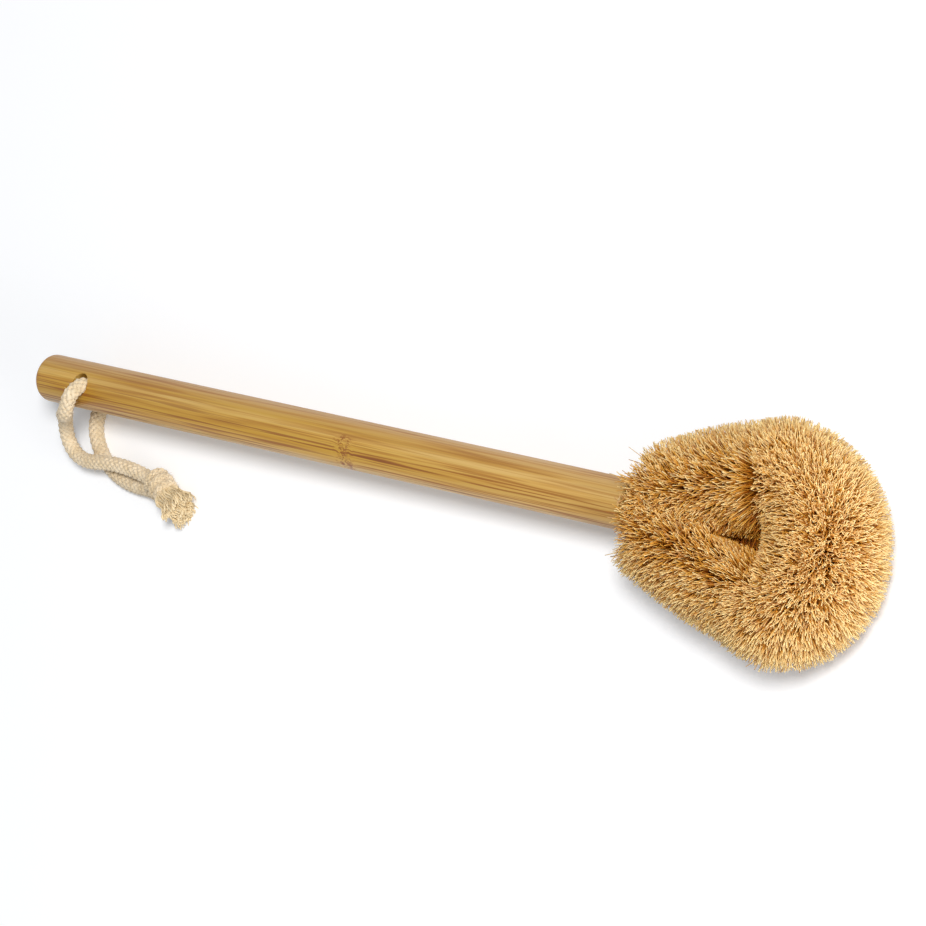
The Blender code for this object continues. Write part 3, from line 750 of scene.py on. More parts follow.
# %% Grain, which swerves in that zone
SWERVE = 0.004
SWERVE_SCALE = 330.0
BAND_SIZE = (0.22, 0.0042)
BUNDLE_SIZE = (0.055, 0.0011)
HAIRLINE_SIZE = (0.050, 0.00065)
BAND_WAVER = 0.16
PALER_AT_MOUTH = 0.35
PALER_END = 0.02
BUNDLE_SHARE = 0.8
HAIRLINE_ZONE = (0.40, 0.62)
FEWEST_HAIRLINES = 0.35


def streaks(size, detail, distortion=0.0, source=place, output="Object"):
    """Noise stretched along the handle: streaks of a size, which is their length and width."""
    length, width = size
    shares = (1 / length, 1 / width, 1 / width)
    stretched = add_node(bamboo, "Mapping", [("Vector", (source, output)), ("Scale", shares)])
    settings = [("Scale", 1.0), ("Detail", detail), ("Distortion", distortion)]
    return add_node(bamboo, "TexNoise", [("Vector", (stretched, "Vector")), *settings])


swerve = add_node(bamboo, "TexNoise", [object_place, ("Scale", SWERVE_SCALE), ("Detail", 2.0)])
centred = add_node(
    bamboo, "VectorMath", [(0, (swerve, "Color")), (1, (0.5, 0.5, 0.5))], operation="SUBTRACT"
)
amount = add_node(bamboo, "Math", [(0, (node_zone, 0)), (1, SWERVE)], operation="MULTIPLY")
shift = add_node(bamboo, "VectorMath", [(0, (centred, 0)), ("Scale", (amount, 0))], operation="SCALE")
grain_place = add_node(bamboo, "VectorMath", [(0, (place, "Object")), (1, (shift, 0))], operation="ADD")

bands = streaks(BAND_SIZE, 2.0, 0.3, grain_place, "Vector")
bundles = streaks(BUNDLE_SIZE, 2.0, 0.2, grain_place, "Vector")
hairlines = streaks(HAIRLINE_SIZE, 1.0, 0.0, grain_place, "Vector")
# the ground runs across the handle in wavering bands: grain, with a painted highlight along the upper middle,
# painted reflections at both edges, which are paler and greyer, and painted shade in the darker lower bands
width = (HANDLE_RADIUS, -HANDLE_RADIUS)
across = add_node(bamboo, "MapRange", [("Value", (apart, "Y")), *zip(RANGE, width)])
wavering = add_node(bamboo, "Math", [(0, (bands, "Fac")), (1, BAND_WAVER)], operation="MULTIPLY")
layer = add_node(bamboo, "Math", [(0, (across, 0)), (1, (wavering, 0))], operation="ADD")
layer = add_node(bamboo, "Math", [(0, (layer, 0)), (1, BAND_WAVER / 2)], operation="SUBTRACT")
grain_and_painted_sheen = add_node(
    bamboo,
    "ValToRGB",
    [("Fac", (layer, "Value"))],
    stops=[
        (0.05, "BC9150"),
        (1.0, "D0AE74"),
        (0.28, "BA9034"),
        (0.37, "CBA65C"),
        (0.47, "CAA24C"),
        (0.58, "BF9434"),
        (0.75, "BC9028"),
        (0.88, "CBA048"),
    ],
)
bundle_ramp = add_node(
    bamboo,
    "ValToRGB",
    [("Fac", (bundles, "Fac"))],
    stops=[(0.30, "D4B676"), (0.56, "FFFFFF"), (0.44, "F4E8CC")],
)
to_mouth = (NODE_X, MOUTH_X - PALER_END, 0, PALER_AT_MOUTH)
paler = add_node(bamboo, "MapRange", [("Value", (apart, "X")), *zip(RANGE, to_mouth)])
line_ramp = add_node(
    bamboo, "ValToRGB", [("Fac", (hairlines, "Fac"))], stops=[(0.36, "C4A058"), (0.50, "FFFFFF")]
)
# dark hairlines are fewest on the upper side, where the painted highlight lies
in_layer = (*HAIRLINE_ZONE, FEWEST_HAIRLINES, 1)
line_share = add_node(bamboo, "MapRange", [("Value", (layer, 0)), *zip(RANGE, in_layer)])

# %% Seam of the node
CURL_SCALE = 460.0
CURL_HALF_WIDTH = (0.085, 0.015)
SEAM_HALF_WIDTH = 0.0021
SEAM_WAVER = 0.0040
SEAM_WAVER_SCALE = 230.0
SEAM_STRENGTH = 0.9
FLECK_SIZE = (0.0011, 0.00035)
FLECK_LEVELS = (0.56, 0.68)
FLECK_AHEAD = 0.0022
FLECK_ZONE = 0.0016

# short dark bundles curl in it, drawn where a noise passes its middle value
settings = [("Scale", CURL_SCALE), ("Detail", 1.5), ("Distortion", 0.8)]
curls = add_node(bamboo, "TexNoise", [object_place, *settings])
off_middle = add_node(bamboo, "Math", [(0, (curls, "Fac")), (1, 0.5)], operation="SUBTRACT")
off_middle = add_node(bamboo, "Math", [(0, (off_middle, 0))], operation="ABSOLUTE")
curl = add_node(bamboo, "MapRange", [("Value", (off_middle, 0)), *zip(RANGE, CURL_HALF_WIDTH)])
waver = add_node(bamboo, "TexNoise", [object_place, ("Scale", SEAM_WAVER_SCALE), ("Detail", 0.0)])
aside = (0, 1, -SEAM_WAVER, SEAM_WAVER)
waver = add_node(bamboo, "MapRange", [("Value", (waver, "Fac")), *zip(RANGE, aside)])
off_seam = add_node(bamboo, "Math", [(0, (from_node, 0)), (1, (waver, 0))], operation="ADD")
beside = add_node(bamboo, "Math", [(0, (off_seam, 0))], operation="ABSOLUTE")
within = [("Value", (beside, 0)), *zip(RANGE, (SEAM_HALF_WIDTH, SEAM_HALF_WIDTH / 2))]
seam_here = add_node(bamboo, "MapRange", within, interpolation_type="SMOOTHSTEP")
for factor in ((zone, 0), (curl, 0), SEAM_STRENGTH):
    seam_here = add_node(bamboo, "Math", [(0, (seam_here, 0)), (1, factor)], operation="MULTIPLY")

# short dark flecks lie on the mouth's side of the seam, where bundles end
flecked = streaks(FLECK_SIZE, 1.0)
fleck_here = add_node(bamboo, "MapRange", [("Value", (flecked, "Fac")), *zip(RANGE, FLECK_LEVELS)])
ahead = add_node(
    bamboo, "Math", [(0, (from_node, 0)), (1, FLECK_AHEAD), (2, FLECK_ZONE)], operation="COMPARE"
)
for factor in (zone, ahead):
    fleck_here = add_node(bamboo, "Math", [(0, (fleck_here, 0)), (1, (factor, 0))], operation="MULTIPLY")

# %% Layers of colour, and the surface
TAIL_SHADE_LENGTH = 0.0030
TAIL_SHADE_SHARE = 0.55
GRAIN_DEPTH = 0.0002
GRAIN_STRENGTH = 0.12
BUNDLE_LEVELS = (0.3, 0.7)
ROUGHNESS = (0.5, 0.38)

# painted shade: the last 3 mm of the tail, round its rounded edge, are darker and browner
to_tail = (TAIL_X + TAIL_SHADE_LENGTH, TAIL_X, 0, TAIL_SHADE_SHARE)
painted_tail_shade = add_node(bamboo, "MapRange", [("Value", (apart, "X")), *zip(RANGE, to_tail)])

# each layer's share, its colour, and how it is laid over the ones before it
colour = (grain_and_painted_sheen, "Color")
for share, over, blend in (
    ((paler, 0), linear("CDA872"), "MIX"),
    (BUNDLE_SHARE, (bundle_ramp, "Color"), "MULTIPLY"),
    ((line_share, 0), (line_ramp, "Color"), "MULTIPLY"),
    ((seam_here, 0), linear("824200"), "MIX"),
    ((fleck_here, 0), linear("9A642A"), "MIX"),
    ((painted_tail_shade, 0), linear("C89A5E"), "MULTIPLY"),
):
    laid = add_node(bamboo, "Mix", data_type="RGBA", blend_type=blend)
    join(bamboo, laid, [(0, share), (6, colour), (7, over)])
    colour = (laid, 2)

depth = [("Strength", GRAIN_STRENGTH), ("Distance", GRAIN_DEPTH)]
grain_bump = add_node(bamboo, "Bump", [("Height", (hairlines, "Fac")), *depth])
levels = zip(RANGE, BUNDLE_LEVELS + ROUGHNESS)
gloss = add_node(bamboo, "MapRange", [("Value", (bundles, "Fac")), *levels])
join(bamboo, shader, [("Base Color", colour), ("Roughness", (gloss, 0)), ("Normal", (grain_bump, 0))])
handle = show("bamboo_handle", rod, bamboo)
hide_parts("handle")
print("material:", bamboo.name)

# %% [markdown]
# ## Wire and resin
#
# The two wires and the resin that sets them in the bore are almost hidden. Their solids stay as they
# are, and only get a finish: dull zinc for the wire, and amber set resin for the collar.

# %% Galvanised wire and set resin
zinc, shader = finish_named("galvanised_steel_wire")
place = add_node(zinc, "TexCoord")
spangle = add_node(zinc, "TexNoise", [("Vector", (place, "Object")), ("Scale", 900.0)])
dulled = add_node(zinc, "ValToRGB", [("Fac", (spangle, "Fac"))], stops=[(0.35, "8E9092"), (0.65, "C2C4C4")])
join(zinc, shader, [("Base Color", (dulled, "Color")), ("Metallic", 1.0), ("Roughness", 0.42)])
resin, shader = finish_named("set_amber_resin")
place = add_node(resin, "TexCoord")
cloud = add_node(resin, "TexNoise", [("Vector", (place, "Object")), ("Scale", 350.0)])
amber = add_node(resin, "ValToRGB", [("Fac", (cloud, "Fac"))], stops=[(0.3, "8A6A38"), (0.7, "B8935A")])
join(resin, shader, [("Base Color", (amber, "Color")), ("Roughness", 0.3)])
for name, finish in (("wire_strand_a", zinc), ("wire_strand_b", zinc), ("resin_collar", resin)):
    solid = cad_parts[name]
    solid.data.materials.clear()
    solid.data.materials.append(finish)
print("finished solids that stay:", "wire_strand_a, wire_strand_b, resin_collar")

# %% [markdown]
# ## The core line of the bristle strip
#
# The fibres are clamped between two twisted wires, and that straight strip is then bent into a
# teardrop. Its core line is made of straight lengths and arcs: out of the bore, along one leg, round
# the front and back along the other leg. The same function gives the place and the direction for any
# number of distances at once.

# %% Core line of the loop
SHANK = 0.035
LEG_OFFSET = 0.0021
LEG_BEND_RADIUS = 0.014
LOOP_REACH = 0.083
FRONT_RADIUS = 0.0185

front_centre = LOOP_REACH - FRONT_RADIUS
across_bend = LEG_OFFSET + LEG_BEND_RADIUS
between = math.hypot(front_centre, across_bend)
slope = math.asin((LEG_BEND_RADIUS + FRONT_RADIUS) / between)
leg_angle = slope - math.atan2(across_bend, front_centre)
leg = between * math.cos(slope)
bend = LEG_BEND_RADIUS * leg_angle
front = FRONT_RADIUS * (math.pi + 2 * leg_angle)
CORE_PIECES = (
    (SHANK, 0.0),
    (bend, 1 / LEG_BEND_RADIUS),
    (leg, 0.0),
    (front, -1 / FRONT_RADIUS),
    (leg, 0.0),
    (bend, 1 / LEG_BEND_RADIUS),
    (SHANK, 0.0),
)
CORE_LENGTH = sum(length for length, _ in CORE_PIECES)


def core_line(distance):
    """Points and unit tangents of the core at an array of distances along it."""
    x = np.full(distance.shape, MOUTH_X - SHANK)
    y = np.full(distance.shape, LEG_OFFSET)
    heading = np.zeros(distance.shape)
    left = distance.copy()
    for length, curvature in CORE_PIECES:
        step = np.clip(left, 0, length)
        turn = step * curvature
        if curvature:
            x += (np.sin(heading + turn) - np.sin(heading)) / curvature
            y -= (np.cos(heading + turn) - np.cos(heading)) / curvature
        else:
            x += step * np.cos(heading)
            y += step * np.sin(heading)
        heading += turn
        left = left - step
    flat = np.zeros(distance.shape)
    return (
        np.stack([x, y, flat + AXIS_HEIGHT], axis=-1),
        np.stack([np.cos(heading), np.sin(heading), flat], axis=-1),
    )


print(f"core line {CORE_LENGTH:.4f} m, legs open at {math.degrees(leg_angle) * 2:.1f} degrees")

# %% [markdown]
# ## Coconut fibres
#
# Coir is stiff and a little curly, 0.2 to 0.4 mm thick. Every fibre starts at the wires and points
# away from them, and the strip was trimmed to one radius before it was bent. Four things keep it from
# looking like a machine part: neighbours lean together in small clumps, each fibre bows a little, the
# trim is uneven, and some fibres stray. Where the strip is bent, its fibres crowd on the inside and
# stand apart on the outside. So the strip is made as distances and directions along a straight line,
# and each fibre's ends are then laid on the bent one.

# %% Where the fibres grow
FIBRE_REACH = 0.0220
FIBRE_ROOT = 0.0016
STRIP_SETBACK = 0.0092
CLUMPS = 3600
BEND_CENTRE_X = MOUTH_X + front_centre
strip_start, strip_end = SHANK + STRIP_SETBACK, CORE_LENGTH - SHANK - STRIP_SETBACK
leg_end = SHANK + bend + leg
front_middle = leg_end + front / 2


def clump_finder(draw):
    """A search tree of the places where clumps of fibres meet, as distance and arc round the core."""
    places = np.stack(
        [
            draw.uniform(strip_start, strip_end, CLUMPS),
            draw.uniform(-math.pi, math.pi, CLUMPS) * FIBRE_REACH,
            np.zeros(CLUMPS),
        ],
        axis=1,
    )
    tree = kdtree.KDTree(CLUMPS)
    for i, place in enumerate(places):
        tree.insert(place, i)
    tree.balance()
    return tree


# %% [markdown]
# In the middle of the loop the fibres of the legs and of the bend meet. Those of the bend are pressed
# up into a slanting lip, and those of the legs stop before it and leave a narrow hollow open. Each of
# them keeps its length, so that what is pushed aside stands higher or lower.

# %% Ends of the fibres, with the hollow in the loop
LIP_X = BEND_CENTRE_X + 0.0050
LIP_SLANT = -0.38
LIP_GAP = 0.0006
LIP_UNEVENNESS = 0.0030
PRESSED_HEIGHT = 0.0035
PRESSED_WITHIN = 0.0200
PRESSED_FADE = 0.0080
PRESSED_INWARD = 1.6
HOLLOW_REAR_X = BEND_CENTRE_X - 0.0170
HOLLOW_HALF_WIDTH = 0.0044
HOLLOW_MIDDLE_Y = -0.0032
HOLLOW_OPENING = 1.5
HOLLOW_EDGE = (0.25, 0.95)
RAISED_ON_BEND = 0.7
RAISED_ON_LEG = 0.3


def fibre_ends(distance, around, reach, lean, uneven):
    """Ends of fibres that grow at a distance along the core, in a direction round it."""
    core, tangent = core_line(distance)
    inward = np.stack([tangent[:, 1], -tangent[:, 0], np.zeros(len(distance))], axis=1)
    out = inward * np.cos(around)[:, None] + np.array([0.0, 0.0, 1.0]) * np.sin(around)[:, None]
    out = (out * np.cos(lean)[:, None] + tangent * np.sin(lean)[:, None]) * reach[:, None]
    end = core + out

    # in the bend the upper inner fibres crowd, and push each other up before the hollow's edge
    on_bend = core[:, 0] > BEND_CENTRE_X
    upper = out[:, 2] > PRESSED_HEIGHT
    near_middle = np.clip((PRESSED_WITHIN - np.abs(end[:, 1])) / PRESSED_FADE, 0, 1)
    pressed = np.clip(PRESSED_INWARD * np.cos(around), 0, 1) * near_middle * upper
    lip = LIP_X + LIP_SLANT * end[:, 1]
    before_lip = lip - (LIP_GAP + LIP_UNEVENNESS * uneven)
    onto_lip = np.where(on_bend, np.maximum(lip - end[:, 0], 0), np.minimum(before_lip - end[:, 0], 0))
    end[:, 0] += pressed * onto_lip

    # on the legs they stop short of the middle, which leaves the hollow open
    open_share = np.clip(HOLLOW_OPENING * (end[:, 0] - HOLLOW_REAR_X) / (LIP_X - HOLLOW_REAR_X), 0, 1)
    half_width = HOLLOW_HALF_WIDTH * open_share * (HOLLOW_EDGE[0] + HOLLOW_EDGE[1] * uneven)
    side = np.sign(core[:, 1])
    short = ~on_bend & upper & ((end[:, 1] - HOLLOW_MIDDLE_Y) * side < half_width) & (open_share > 0)
    end[:, 1] = np.where(short, HOLLOW_MIDDLE_Y + half_width * side, end[:, 1])

    # what is pushed aside keeps its length, so it stands higher or lower
    moved = np.abs(end - core - out).max(axis=1) > 0
    flat = np.linalg.norm(end[:, :2] - core[:, :2], axis=1)
    high = np.sqrt(np.maximum(reach**2 - flat**2, 0)) * np.where(out[:, 2] < 0, -1, 1)
    raised = np.where(on_bend, RAISED_ON_BEND, RAISED_ON_LEG)
    end[:, 2] = np.where(moved, core[:, 2] + high * raised + out[:, 2] * (1 - raised), end[:, 2])
    return end


# %% [markdown]
# The trim isn't quite round. On the outside of the bend it stands further out on one side, and less
# far on the other. At both ends of the strip the fibres get shorter, and on the lower end a notch
# parts those that went up over the handle from those that went down.

# %% Trim of the strip
# how much further out, where round the bend and over what half width, in metres and degrees
SIDE_TRIMS = ((0.0034, 60, 62), (-0.0018, -52, 45), (-0.0020, 104, 26))
REAR_ROUNDING = (0.0050, 0.0010)
REAR_ROUNDING_LENGTH = 0.0100
REAR_ROUNDED_SIDE = -1.4
REAR_TAPER = (0.0026, 0.0019)
REAR_TAPER_LENGTH = 0.0300
REAR_NOTCH = 0.0085
REAR_NOTCH_PLACE = math.radians(124)
REAR_NOTCH_HALF_WIDTH = math.radians(19)


def rear_notch(around):
    """Share of the notch at the lower rear end, where some fibres went up and some went down."""
    return np.exp(-(((around - REAR_NOTCH_PLACE) / REAR_NOTCH_HALF_WIDTH) ** 2))


def trim(distance, around):
    """How much longer or shorter than the strip's radius the fibres are cut."""
    outward = np.clip(-np.cos(around), 0, 1)
    more = np.zeros(len(distance))
    for most, place, half_width in SIDE_TRIMS:
        away = (distance - front_middle) / FRONT_RADIUS - math.radians(place)
        more += most * np.clip(1 - (away / math.radians(half_width)) ** 2, 0, 1) * outward
    upper_rounding = REAR_ROUNDING[0] * np.clip(REAR_ROUNDED_SIDE * np.cos(around), 0, 1)
    lower_rounding = REAR_ROUNDING[1] + REAR_NOTCH * rear_notch(around)
    ends = (distance - strip_start, strip_end - distance)
    for past, rounding, taper in zip(ends, (upper_rounding, lower_rounding), REAR_TAPER):
        more -= rounding * np.clip(1 - past / REAR_ROUNDING_LENGTH, 0, 1) ** 2
        more -= taper * np.clip(1 - past / REAR_TAPER_LENGTH, 0, 1)
    return more


# %% [markdown]
# At the two ends of the strip the fibres lean back over the handle. Where a leg runs into the bend
# they part, because the bend spreads them.

# %% Lean of the fibres along the strip
REAR_LEANS = (math.radians(5), math.radians(14))
REAR_UP_LEAN = math.radians(9)
REAR_LEAN_LENGTH = 0.011
REAR_LEAN_SPREAD = (0.0, 1.3)
WILD_REAR_LEAN = 0.36
PARTING_LEAN = math.radians(24)
PARTING_LENGTH = 0.008
PARTING_SPREAD = (0.6, 1.2)
# where each leg meets the bend, how strong the parting is, and which way the bend lies
PARTINGS = ((leg_end, 0.8, 1), (CORE_LENGTH - leg_end, 0.35, -1))


def leans(distance, around, wild, draw):
    """How far fibres lean along the core, as angles."""
    from_rear, from_end = distance - strip_start, strip_end - distance
    rear = np.clip(1 - np.minimum(from_rear, from_end) / REAR_LEAN_LENGTH, 0, 1)
    upper_lean = REAR_LEANS[0] + REAR_UP_LEAN * np.clip(np.sin(around), 0, 1) ** 2
    lower_lean = REAR_LEANS[1] * (1 - rear_notch(around))
    rear_spread = draw.uniform(*REAR_LEAN_SPREAD, len(distance))
    lean = np.where(from_rear < from_end, upper_lean, lower_lean) * rear_spread * rear
    lean += np.where(wild, WILD_REAR_LEAN, 0) * rear
    lean *= np.where(from_rear < from_end, -1, 1)
    up_and_in = np.clip(np.cos(around - math.pi / 4), 0, 1)
    for middle, share, way in PARTINGS:
        past = (distance - middle) * way
        near = np.exp(-np.abs(past) / PARTING_LENGTH) * share * up_and_in
        lean += way * np.sign(past) * near * PARTING_LEAN * draw.uniform(*PARTING_SPREAD, len(distance))
    return lean


# %% [markdown]
# Painted shade makes a fibre darkest near its root. Inside the loop, on top of the bend and along the
# crest of each leg, where the fibres shade each other, the painted shade reaches further out, and the
# short undergrowth gets a level of its own. Painted light makes the outer front of the bend paler
# further down. No two fibres are the same, so each gets a little more or less.

# %% Painted shade of the fibres
# where there are two values, the first is for the bend and the second for the legs
INSIDE_PAINTED_SHADE = (0.30, 0.33)
TOP_PAINTED_SHADE = 0.045
CREST_PAINTED_SHADE = 0.18
CREST_HALF_WIDTH = math.radians(30)
UNDERGROWTH_PAINTED_SHADE = 0.12
FRONT_PAINTED_LIGHT = 0.05
SHADE_SPREAD = (0.03, 0.07)


def painted_shade_kept(distance, around, on_bend, low, crest, draw):
    """How much of the painted root shade each fibre keeps at its tip, less the painted light at the front."""
    inward = np.cos(around)
    # painted shade reaches further up inside the loop, on the bend's top, on each leg's crest and undergrowth
    inside = np.clip(inward, 0, 1) ** 3 * np.where(on_bend, *INSIDE_PAINTED_SHADE)
    inside += np.where(on_bend, TOP_PAINTED_SHADE * np.clip(np.sin(around), 0, 1) ** 2, CREST_PAINTED_SHADE * crest)
    inside = np.where(low, UNDERGROWTH_PAINTED_SHADE, inside)
    # painted light: the outer front of the bend keeps less of the root's dark colour
    to_front = np.clip(np.cos((distance - front_middle) / FRONT_RADIUS), 0, 1)
    inside -= np.where(on_bend & ~low, FRONT_PAINTED_LIGHT * to_front * np.clip(-inward, 0, 1), 0)
    return inside + draw.normal(0, np.where(on_bend, *SHADE_SPREAD))


# %% [markdown]
# The fibres of one stretch are drawn at random along the strip and round it. On the bend most of
# those that would crowd its inside stand outside, where the tips are far apart. Near the wires a real
# strip lets no light through, so some of the bend's fibres are short and thick there. Tips gather
# where their clump meets, a few go their own way, and along the top of each leg they part.

# %% Fibres of one stretch
FIBRE_RINGS = 5
FIBRE_SIDES = 3
FIBRE_RADIUS = 0.00020
FIBRE_SPREAD = (0.65, 1.3)
FIBRE_TAPER = (1.15, 0.75)
FIBRE_BOW = 0.0011
FIBRE_KINK = 0.0002
FIBRE_BEND = 2.2
MOVED_OUTSIDE = 0.55
TRIM_CURVE = 2.6
TRIM_JITTER = 0.00025
UNDERGROWTH = 0.24
UNDERGROWTH_REACH = 0.74
UNDERGROWTH_THICK = 3.5
WILD_SHARE = 0.06
WILD_STRAY = 0.0032
WILD_TURN = 0.18
CLUMP_PULL = (0.05, 0.95)
CREST_PARTING = 0.24
CREST_SPREAD = (-0.5, 1.3)
PATCH_MIDDLE = 0.55
PATCH_SWING = 0.45
PATCH_RATES = (900, 2300)
PATCH_SHIFT = 1.3
# where there are two values, the first is for the bend and the second for the legs
TRIM_UNEVENNESS = (0.0024, 0.0042)
MORE_PULL = (0, 0.15)
TIP_STRAY = (0.0011, 0.0015)
TIP_TURN = (0.050, 0.080)


def coir_fibres(start, end, count, draw):
    """Fibres of one stretch of the strip."""
    distance = draw.uniform(start, end, count)
    around = draw.uniform(-math.pi, math.pi, count)
    on_bend = (distance > leg_end) & (distance < CORE_LENGTH - leg_end)
    crowded = on_bend & (np.cos(around) > 0) & (around > 0)
    turned = crowded & (draw.uniform(0, 1, count) < MOVED_OUTSIDE)
    around = np.where(turned, math.pi - around, around)
    cut_short = np.where(on_bend, *TRIM_UNEVENNESS) * draw.uniform(0, 1, count) ** TRIM_CURVE
    reach = FIBRE_REACH - cut_short + draw.normal(0, TRIM_JITTER, count)
    reach += trim(distance, around)
    low = on_bend & (draw.uniform(0, 1, count) < UNDERGROWTH)
    reach *= np.where(low, UNDERGROWTH_REACH, 1)

    # tips gather where their clump meets, and a few go their own way
    meeting = np.array([tuple(clumps.find((d, a * FIBRE_REACH, 0))[0]) for d, a in zip(distance, around)])
    pull = draw.uniform(*CLUMP_PULL, count) + np.where(on_bend, *MORE_PULL)
    wild = draw.uniform(0, 1, count) < WILD_SHARE
    tip_distance = distance + pull * (meeting[:, 0] - distance)
    tip_distance += draw.normal(0, 1, count) * np.where(wild, WILD_STRAY, np.where(on_bend, *TIP_STRAY))
    tip_around = around + pull * (meeting[:, 1] / FIBRE_REACH - around)
    tip_around += draw.normal(0, 1, count) * np.where(wild, WILD_TURN, np.where(on_bend, *TIP_TURN))

    # along the top of each leg they part, in patches
    off_crest = tip_around - math.pi / 2
    shift = PATCH_SHIFT * np.sin(distance * PATCH_RATES[1])
    patchy = PATCH_MIDDLE + PATCH_SWING * np.sin(distance * PATCH_RATES[0] + shift)
    crest = np.exp(-((off_crest / CREST_HALF_WIDTH) ** 2))
    parting = crest * np.sign(off_crest) * (patchy * draw.uniform(*CREST_SPREAD, count))
    tip_around += np.where(on_bend, 0, CREST_PARTING * parting)

    # each runs from its root to its tip, straight at first, with a bow and a kink of its own
    lean = leans(distance, around, wild, draw)
    still = np.zeros(count)
    uneven = draw.uniform(0, 1, count)
    root = fibre_ends(distance, around, np.full(count, FIBRE_ROOT), still, uneven)
    straight = fibre_ends(distance, around, reach, still, uneven)
    tip = fibre_ends(tip_distance, tip_around, reach, lean, uneven)
    bow = draw.normal(0, FIBRE_BOW, (count, 3))
    kink = draw.normal(0, FIBRE_KINK, (count, 3))
    centres = np.stack(
        [
            root
            + (straight - root) * t
            + (tip - straight) * t**FIBRE_BEND
            + bow * math.sin(math.pi * t)
            + kink * math.sin(2 * math.pi * t)
            for t in np.linspace(0, 1, FIBRE_RINGS)
        ],
        axis=1,
    )
    centres[:, :, 2] = np.maximum(centres[:, :, 2], 2 * FIBRE_RADIUS)
    side, other = square_to(unit(tip - root), unit(draw.normal(0, 1, (count, 3))))
    thick = FIBRE_RADIUS * draw.uniform(*FIBRE_SPREAD, (count, 1, 1))
    thick = thick * np.linspace(*FIBRE_TAPER, FIBRE_RINGS)[:, None]
    thick *= np.where(low, UNDERGROWTH_THICK, 1)[:, None, None]
    tone = draw.uniform(0, 1, count)
    tip_ramp_reach = 1 - painted_shade_kept(distance, around, on_bend, low, patchy * crest, draw)
    return strands(centres, side[:, None] * thick, other[:, None] * thick, FIBRE_SIDES, tone, tip_ramp_reach)


clumps = clump_finder(np.random.default_rng(29))
print(f"strip {strip_end - strip_start:.4f} m long, with", CLUMPS, "clumps")

# %% [markdown]
# ## Coir material
#
# Coir is the husk of the coconut: golden brown, with every shade from straw to rust among its fibres.
# Each fibre has its own place in the map's width, which picks its shade. Its length is the map's height,
# which runs from a dark root to a pale cut tip: painted shade, where the dense strip shades the fibres
# near the wires. A fibre in deeper painted shade reaches less far up the map. The fibre is hard and
# smooth, so it has a weak gloss.

# %% Coir material
coir, shader = finish_named("coconut_coir_fibre")
map_place = add_node(coir, "UVMap", uv_map="OFBake")
apart = add_node(coir, "SeparateXYZ", [("Vector", (map_place, "UV"))])
# painted shade along each fibre: dark at the root, pale at the cut tip
along = add_node(
    coir,
    "ValToRGB",
    [("Fac", (apart, "Y"))],
    stops=[(0.0, "5A1E00"), (1.0, "FFECBC"), (0.35, "863A00"), (0.55, "B46A0A"), (0.80, "E0AA48")],
)
shades = add_node(
    coir,
    "ValToRGB",
    [("Fac", (apart, "X"))],
    stops=[(0.0, "A86A24"), (1.0, "FFF8E2"), (0.18, "D8B272"), (0.5, "F6E4B8")],
)
tinted = add_node(coir, "Mix", data_type="RGBA", blend_type="MULTIPLY")
join(coir, tinted, [(0, 0.7), (6, (along, "Color")), (7, (shades, "Color"))])
join(coir, shader, [("Base Color", (tinted, 2)), ("Roughness", 0.55), ("Specular IOR Level", 0.25)])
print("material:", coir.name)

# %% The strip in seven stretches
FIBRES_ON_LEG_STRETCH = 3700
FIBRES_ON_BEND_STRETCH = 6600
STRETCHES = (
    "bristles_left_rear",
    "bristles_left_middle",
    "bristles_left_front",
    "bristles_tip",
    "bristles_right_front",
    "bristles_right_middle",
    "bristles_right_rear",
)
stretch_length = (strip_end - strip_start) / len(STRETCHES)
fibres = 0
for i, node in enumerate(STRETCHES):
    start = strip_start + stretch_length * i
    count = FIBRES_ON_LEG_STRETCH if node.endswith(("rear", "middle")) else FIBRES_ON_BEND_STRETCH
    mesh = coir_fibres(start, start + stretch_length, count, np.random.default_rng(100 + i))
    fibres += count
    piece = show(node.replace("bristles", "coir_fibres"), mesh, coir)
    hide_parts(node)
print("fibres:", fibres)

# %% [markdown]
# ## Floor and light
#
# The brush lies on a white table in soft light. One square lamp stands high beyond the head, towards
# the +Y side, and throws a pale shadow. A white card stands low beyond the head, towards the -Y side,
# and lights its front. The world fills the rest. The table's own surface catches the shadow, and a
# little extra white, which doesn't light the brush, keeps it clean.

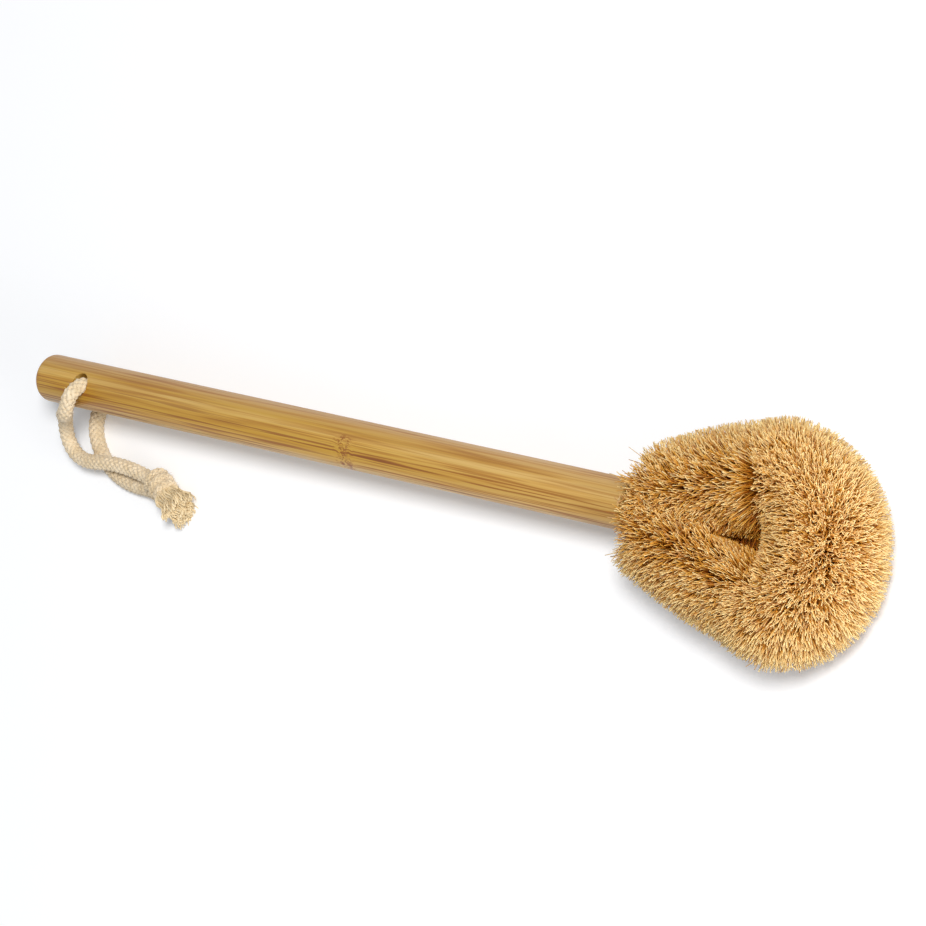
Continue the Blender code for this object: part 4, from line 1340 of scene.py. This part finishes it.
# %% Floor
FLOOR_SIZE = 6
FLOOR_EXTRA = 0.11
bm = bmesh.new()
bmesh.ops.create_grid(bm, x_segments=1, y_segments=1, size=FLOOR_SIZE)
floor = in_scene("floor", as_mesh(bm, "floor"))
white, shader = finish_named("white_table")
path = add_node(white, "LightPath")
seen = (path, "Is Camera Ray")
for ray in ("Is Glossy Ray", "Is Transmission Ray"):
    seen = (add_node(white, "Math", [(0, seen), (1, (path, ray))], operation="MAXIMUM"), "Value")
extra = add_node(white, "Math", [(0, seen), (1, FLOOR_EXTRA)], operation="MULTIPLY")
join(
    white,
    shader,
    [
        ("Base Color", linear("F4F5F7")),
        ("Roughness", 0.9),
        ("Specular IOR Level", 0.0),
        ("Emission Color", (1.0, 1.0, 1.0, 1.0)),
        ("Emission Strength", (extra, "Value")),
    ],
)
floor.data.materials.append(white)

# %% World and lamps
WORLD_LIGHT = 0.32
WORLD_COLOUR = (0.97, 0.985, 1.0, 1.0)
# each lamp's place, the point it aims at, its width and height in metres, and its power in watts
LAMPS = {
    "window": ((2.03, 0.60, 2.70), (0.0, 0.0, 0.0), (0.8, 0.8), 100),
    "reflector_card": ((1.75, -0.35, 0.48), (0.16, 0.0, 0.02), (1.0, 0.6), 14),
}
world = bpy.data.worlds.new("studio")
bpy.context.scene.world = world
world.use_nodes = True
path = add_node(world, "LightPath")
seen = add_node(
    world, "Math", [(0, (path, "Is Camera Ray")), (1, (path, "Is Glossy Ray"))], operation="MAXIMUM"
)
strength = add_node(world, "MapRange", [("Value", (seen, "Value")), ("To Min", WORLD_LIGHT)])
background = world.node_tree.nodes["Background"]
join(world, background, [("Color", WORLD_COLOUR), ("Strength", (strength, "Result"))])
for name, (place, aim, size, power) in LAMPS.items():
    lamp = in_scene(name, bpy.data.lights.new(name, "AREA"))
    lamp.data.shape = "RECTANGLE"
    lamp.data.size, lamp.data.size_y = size
    lamp.data.energy = power
    lamp.location = place
    lamp.rotation_euler = (Vector(aim) - Vector(place)).to_track_quat("-Z", "Y").to_euler()
bpy.context.scene.view_settings.view_transform = "Standard"
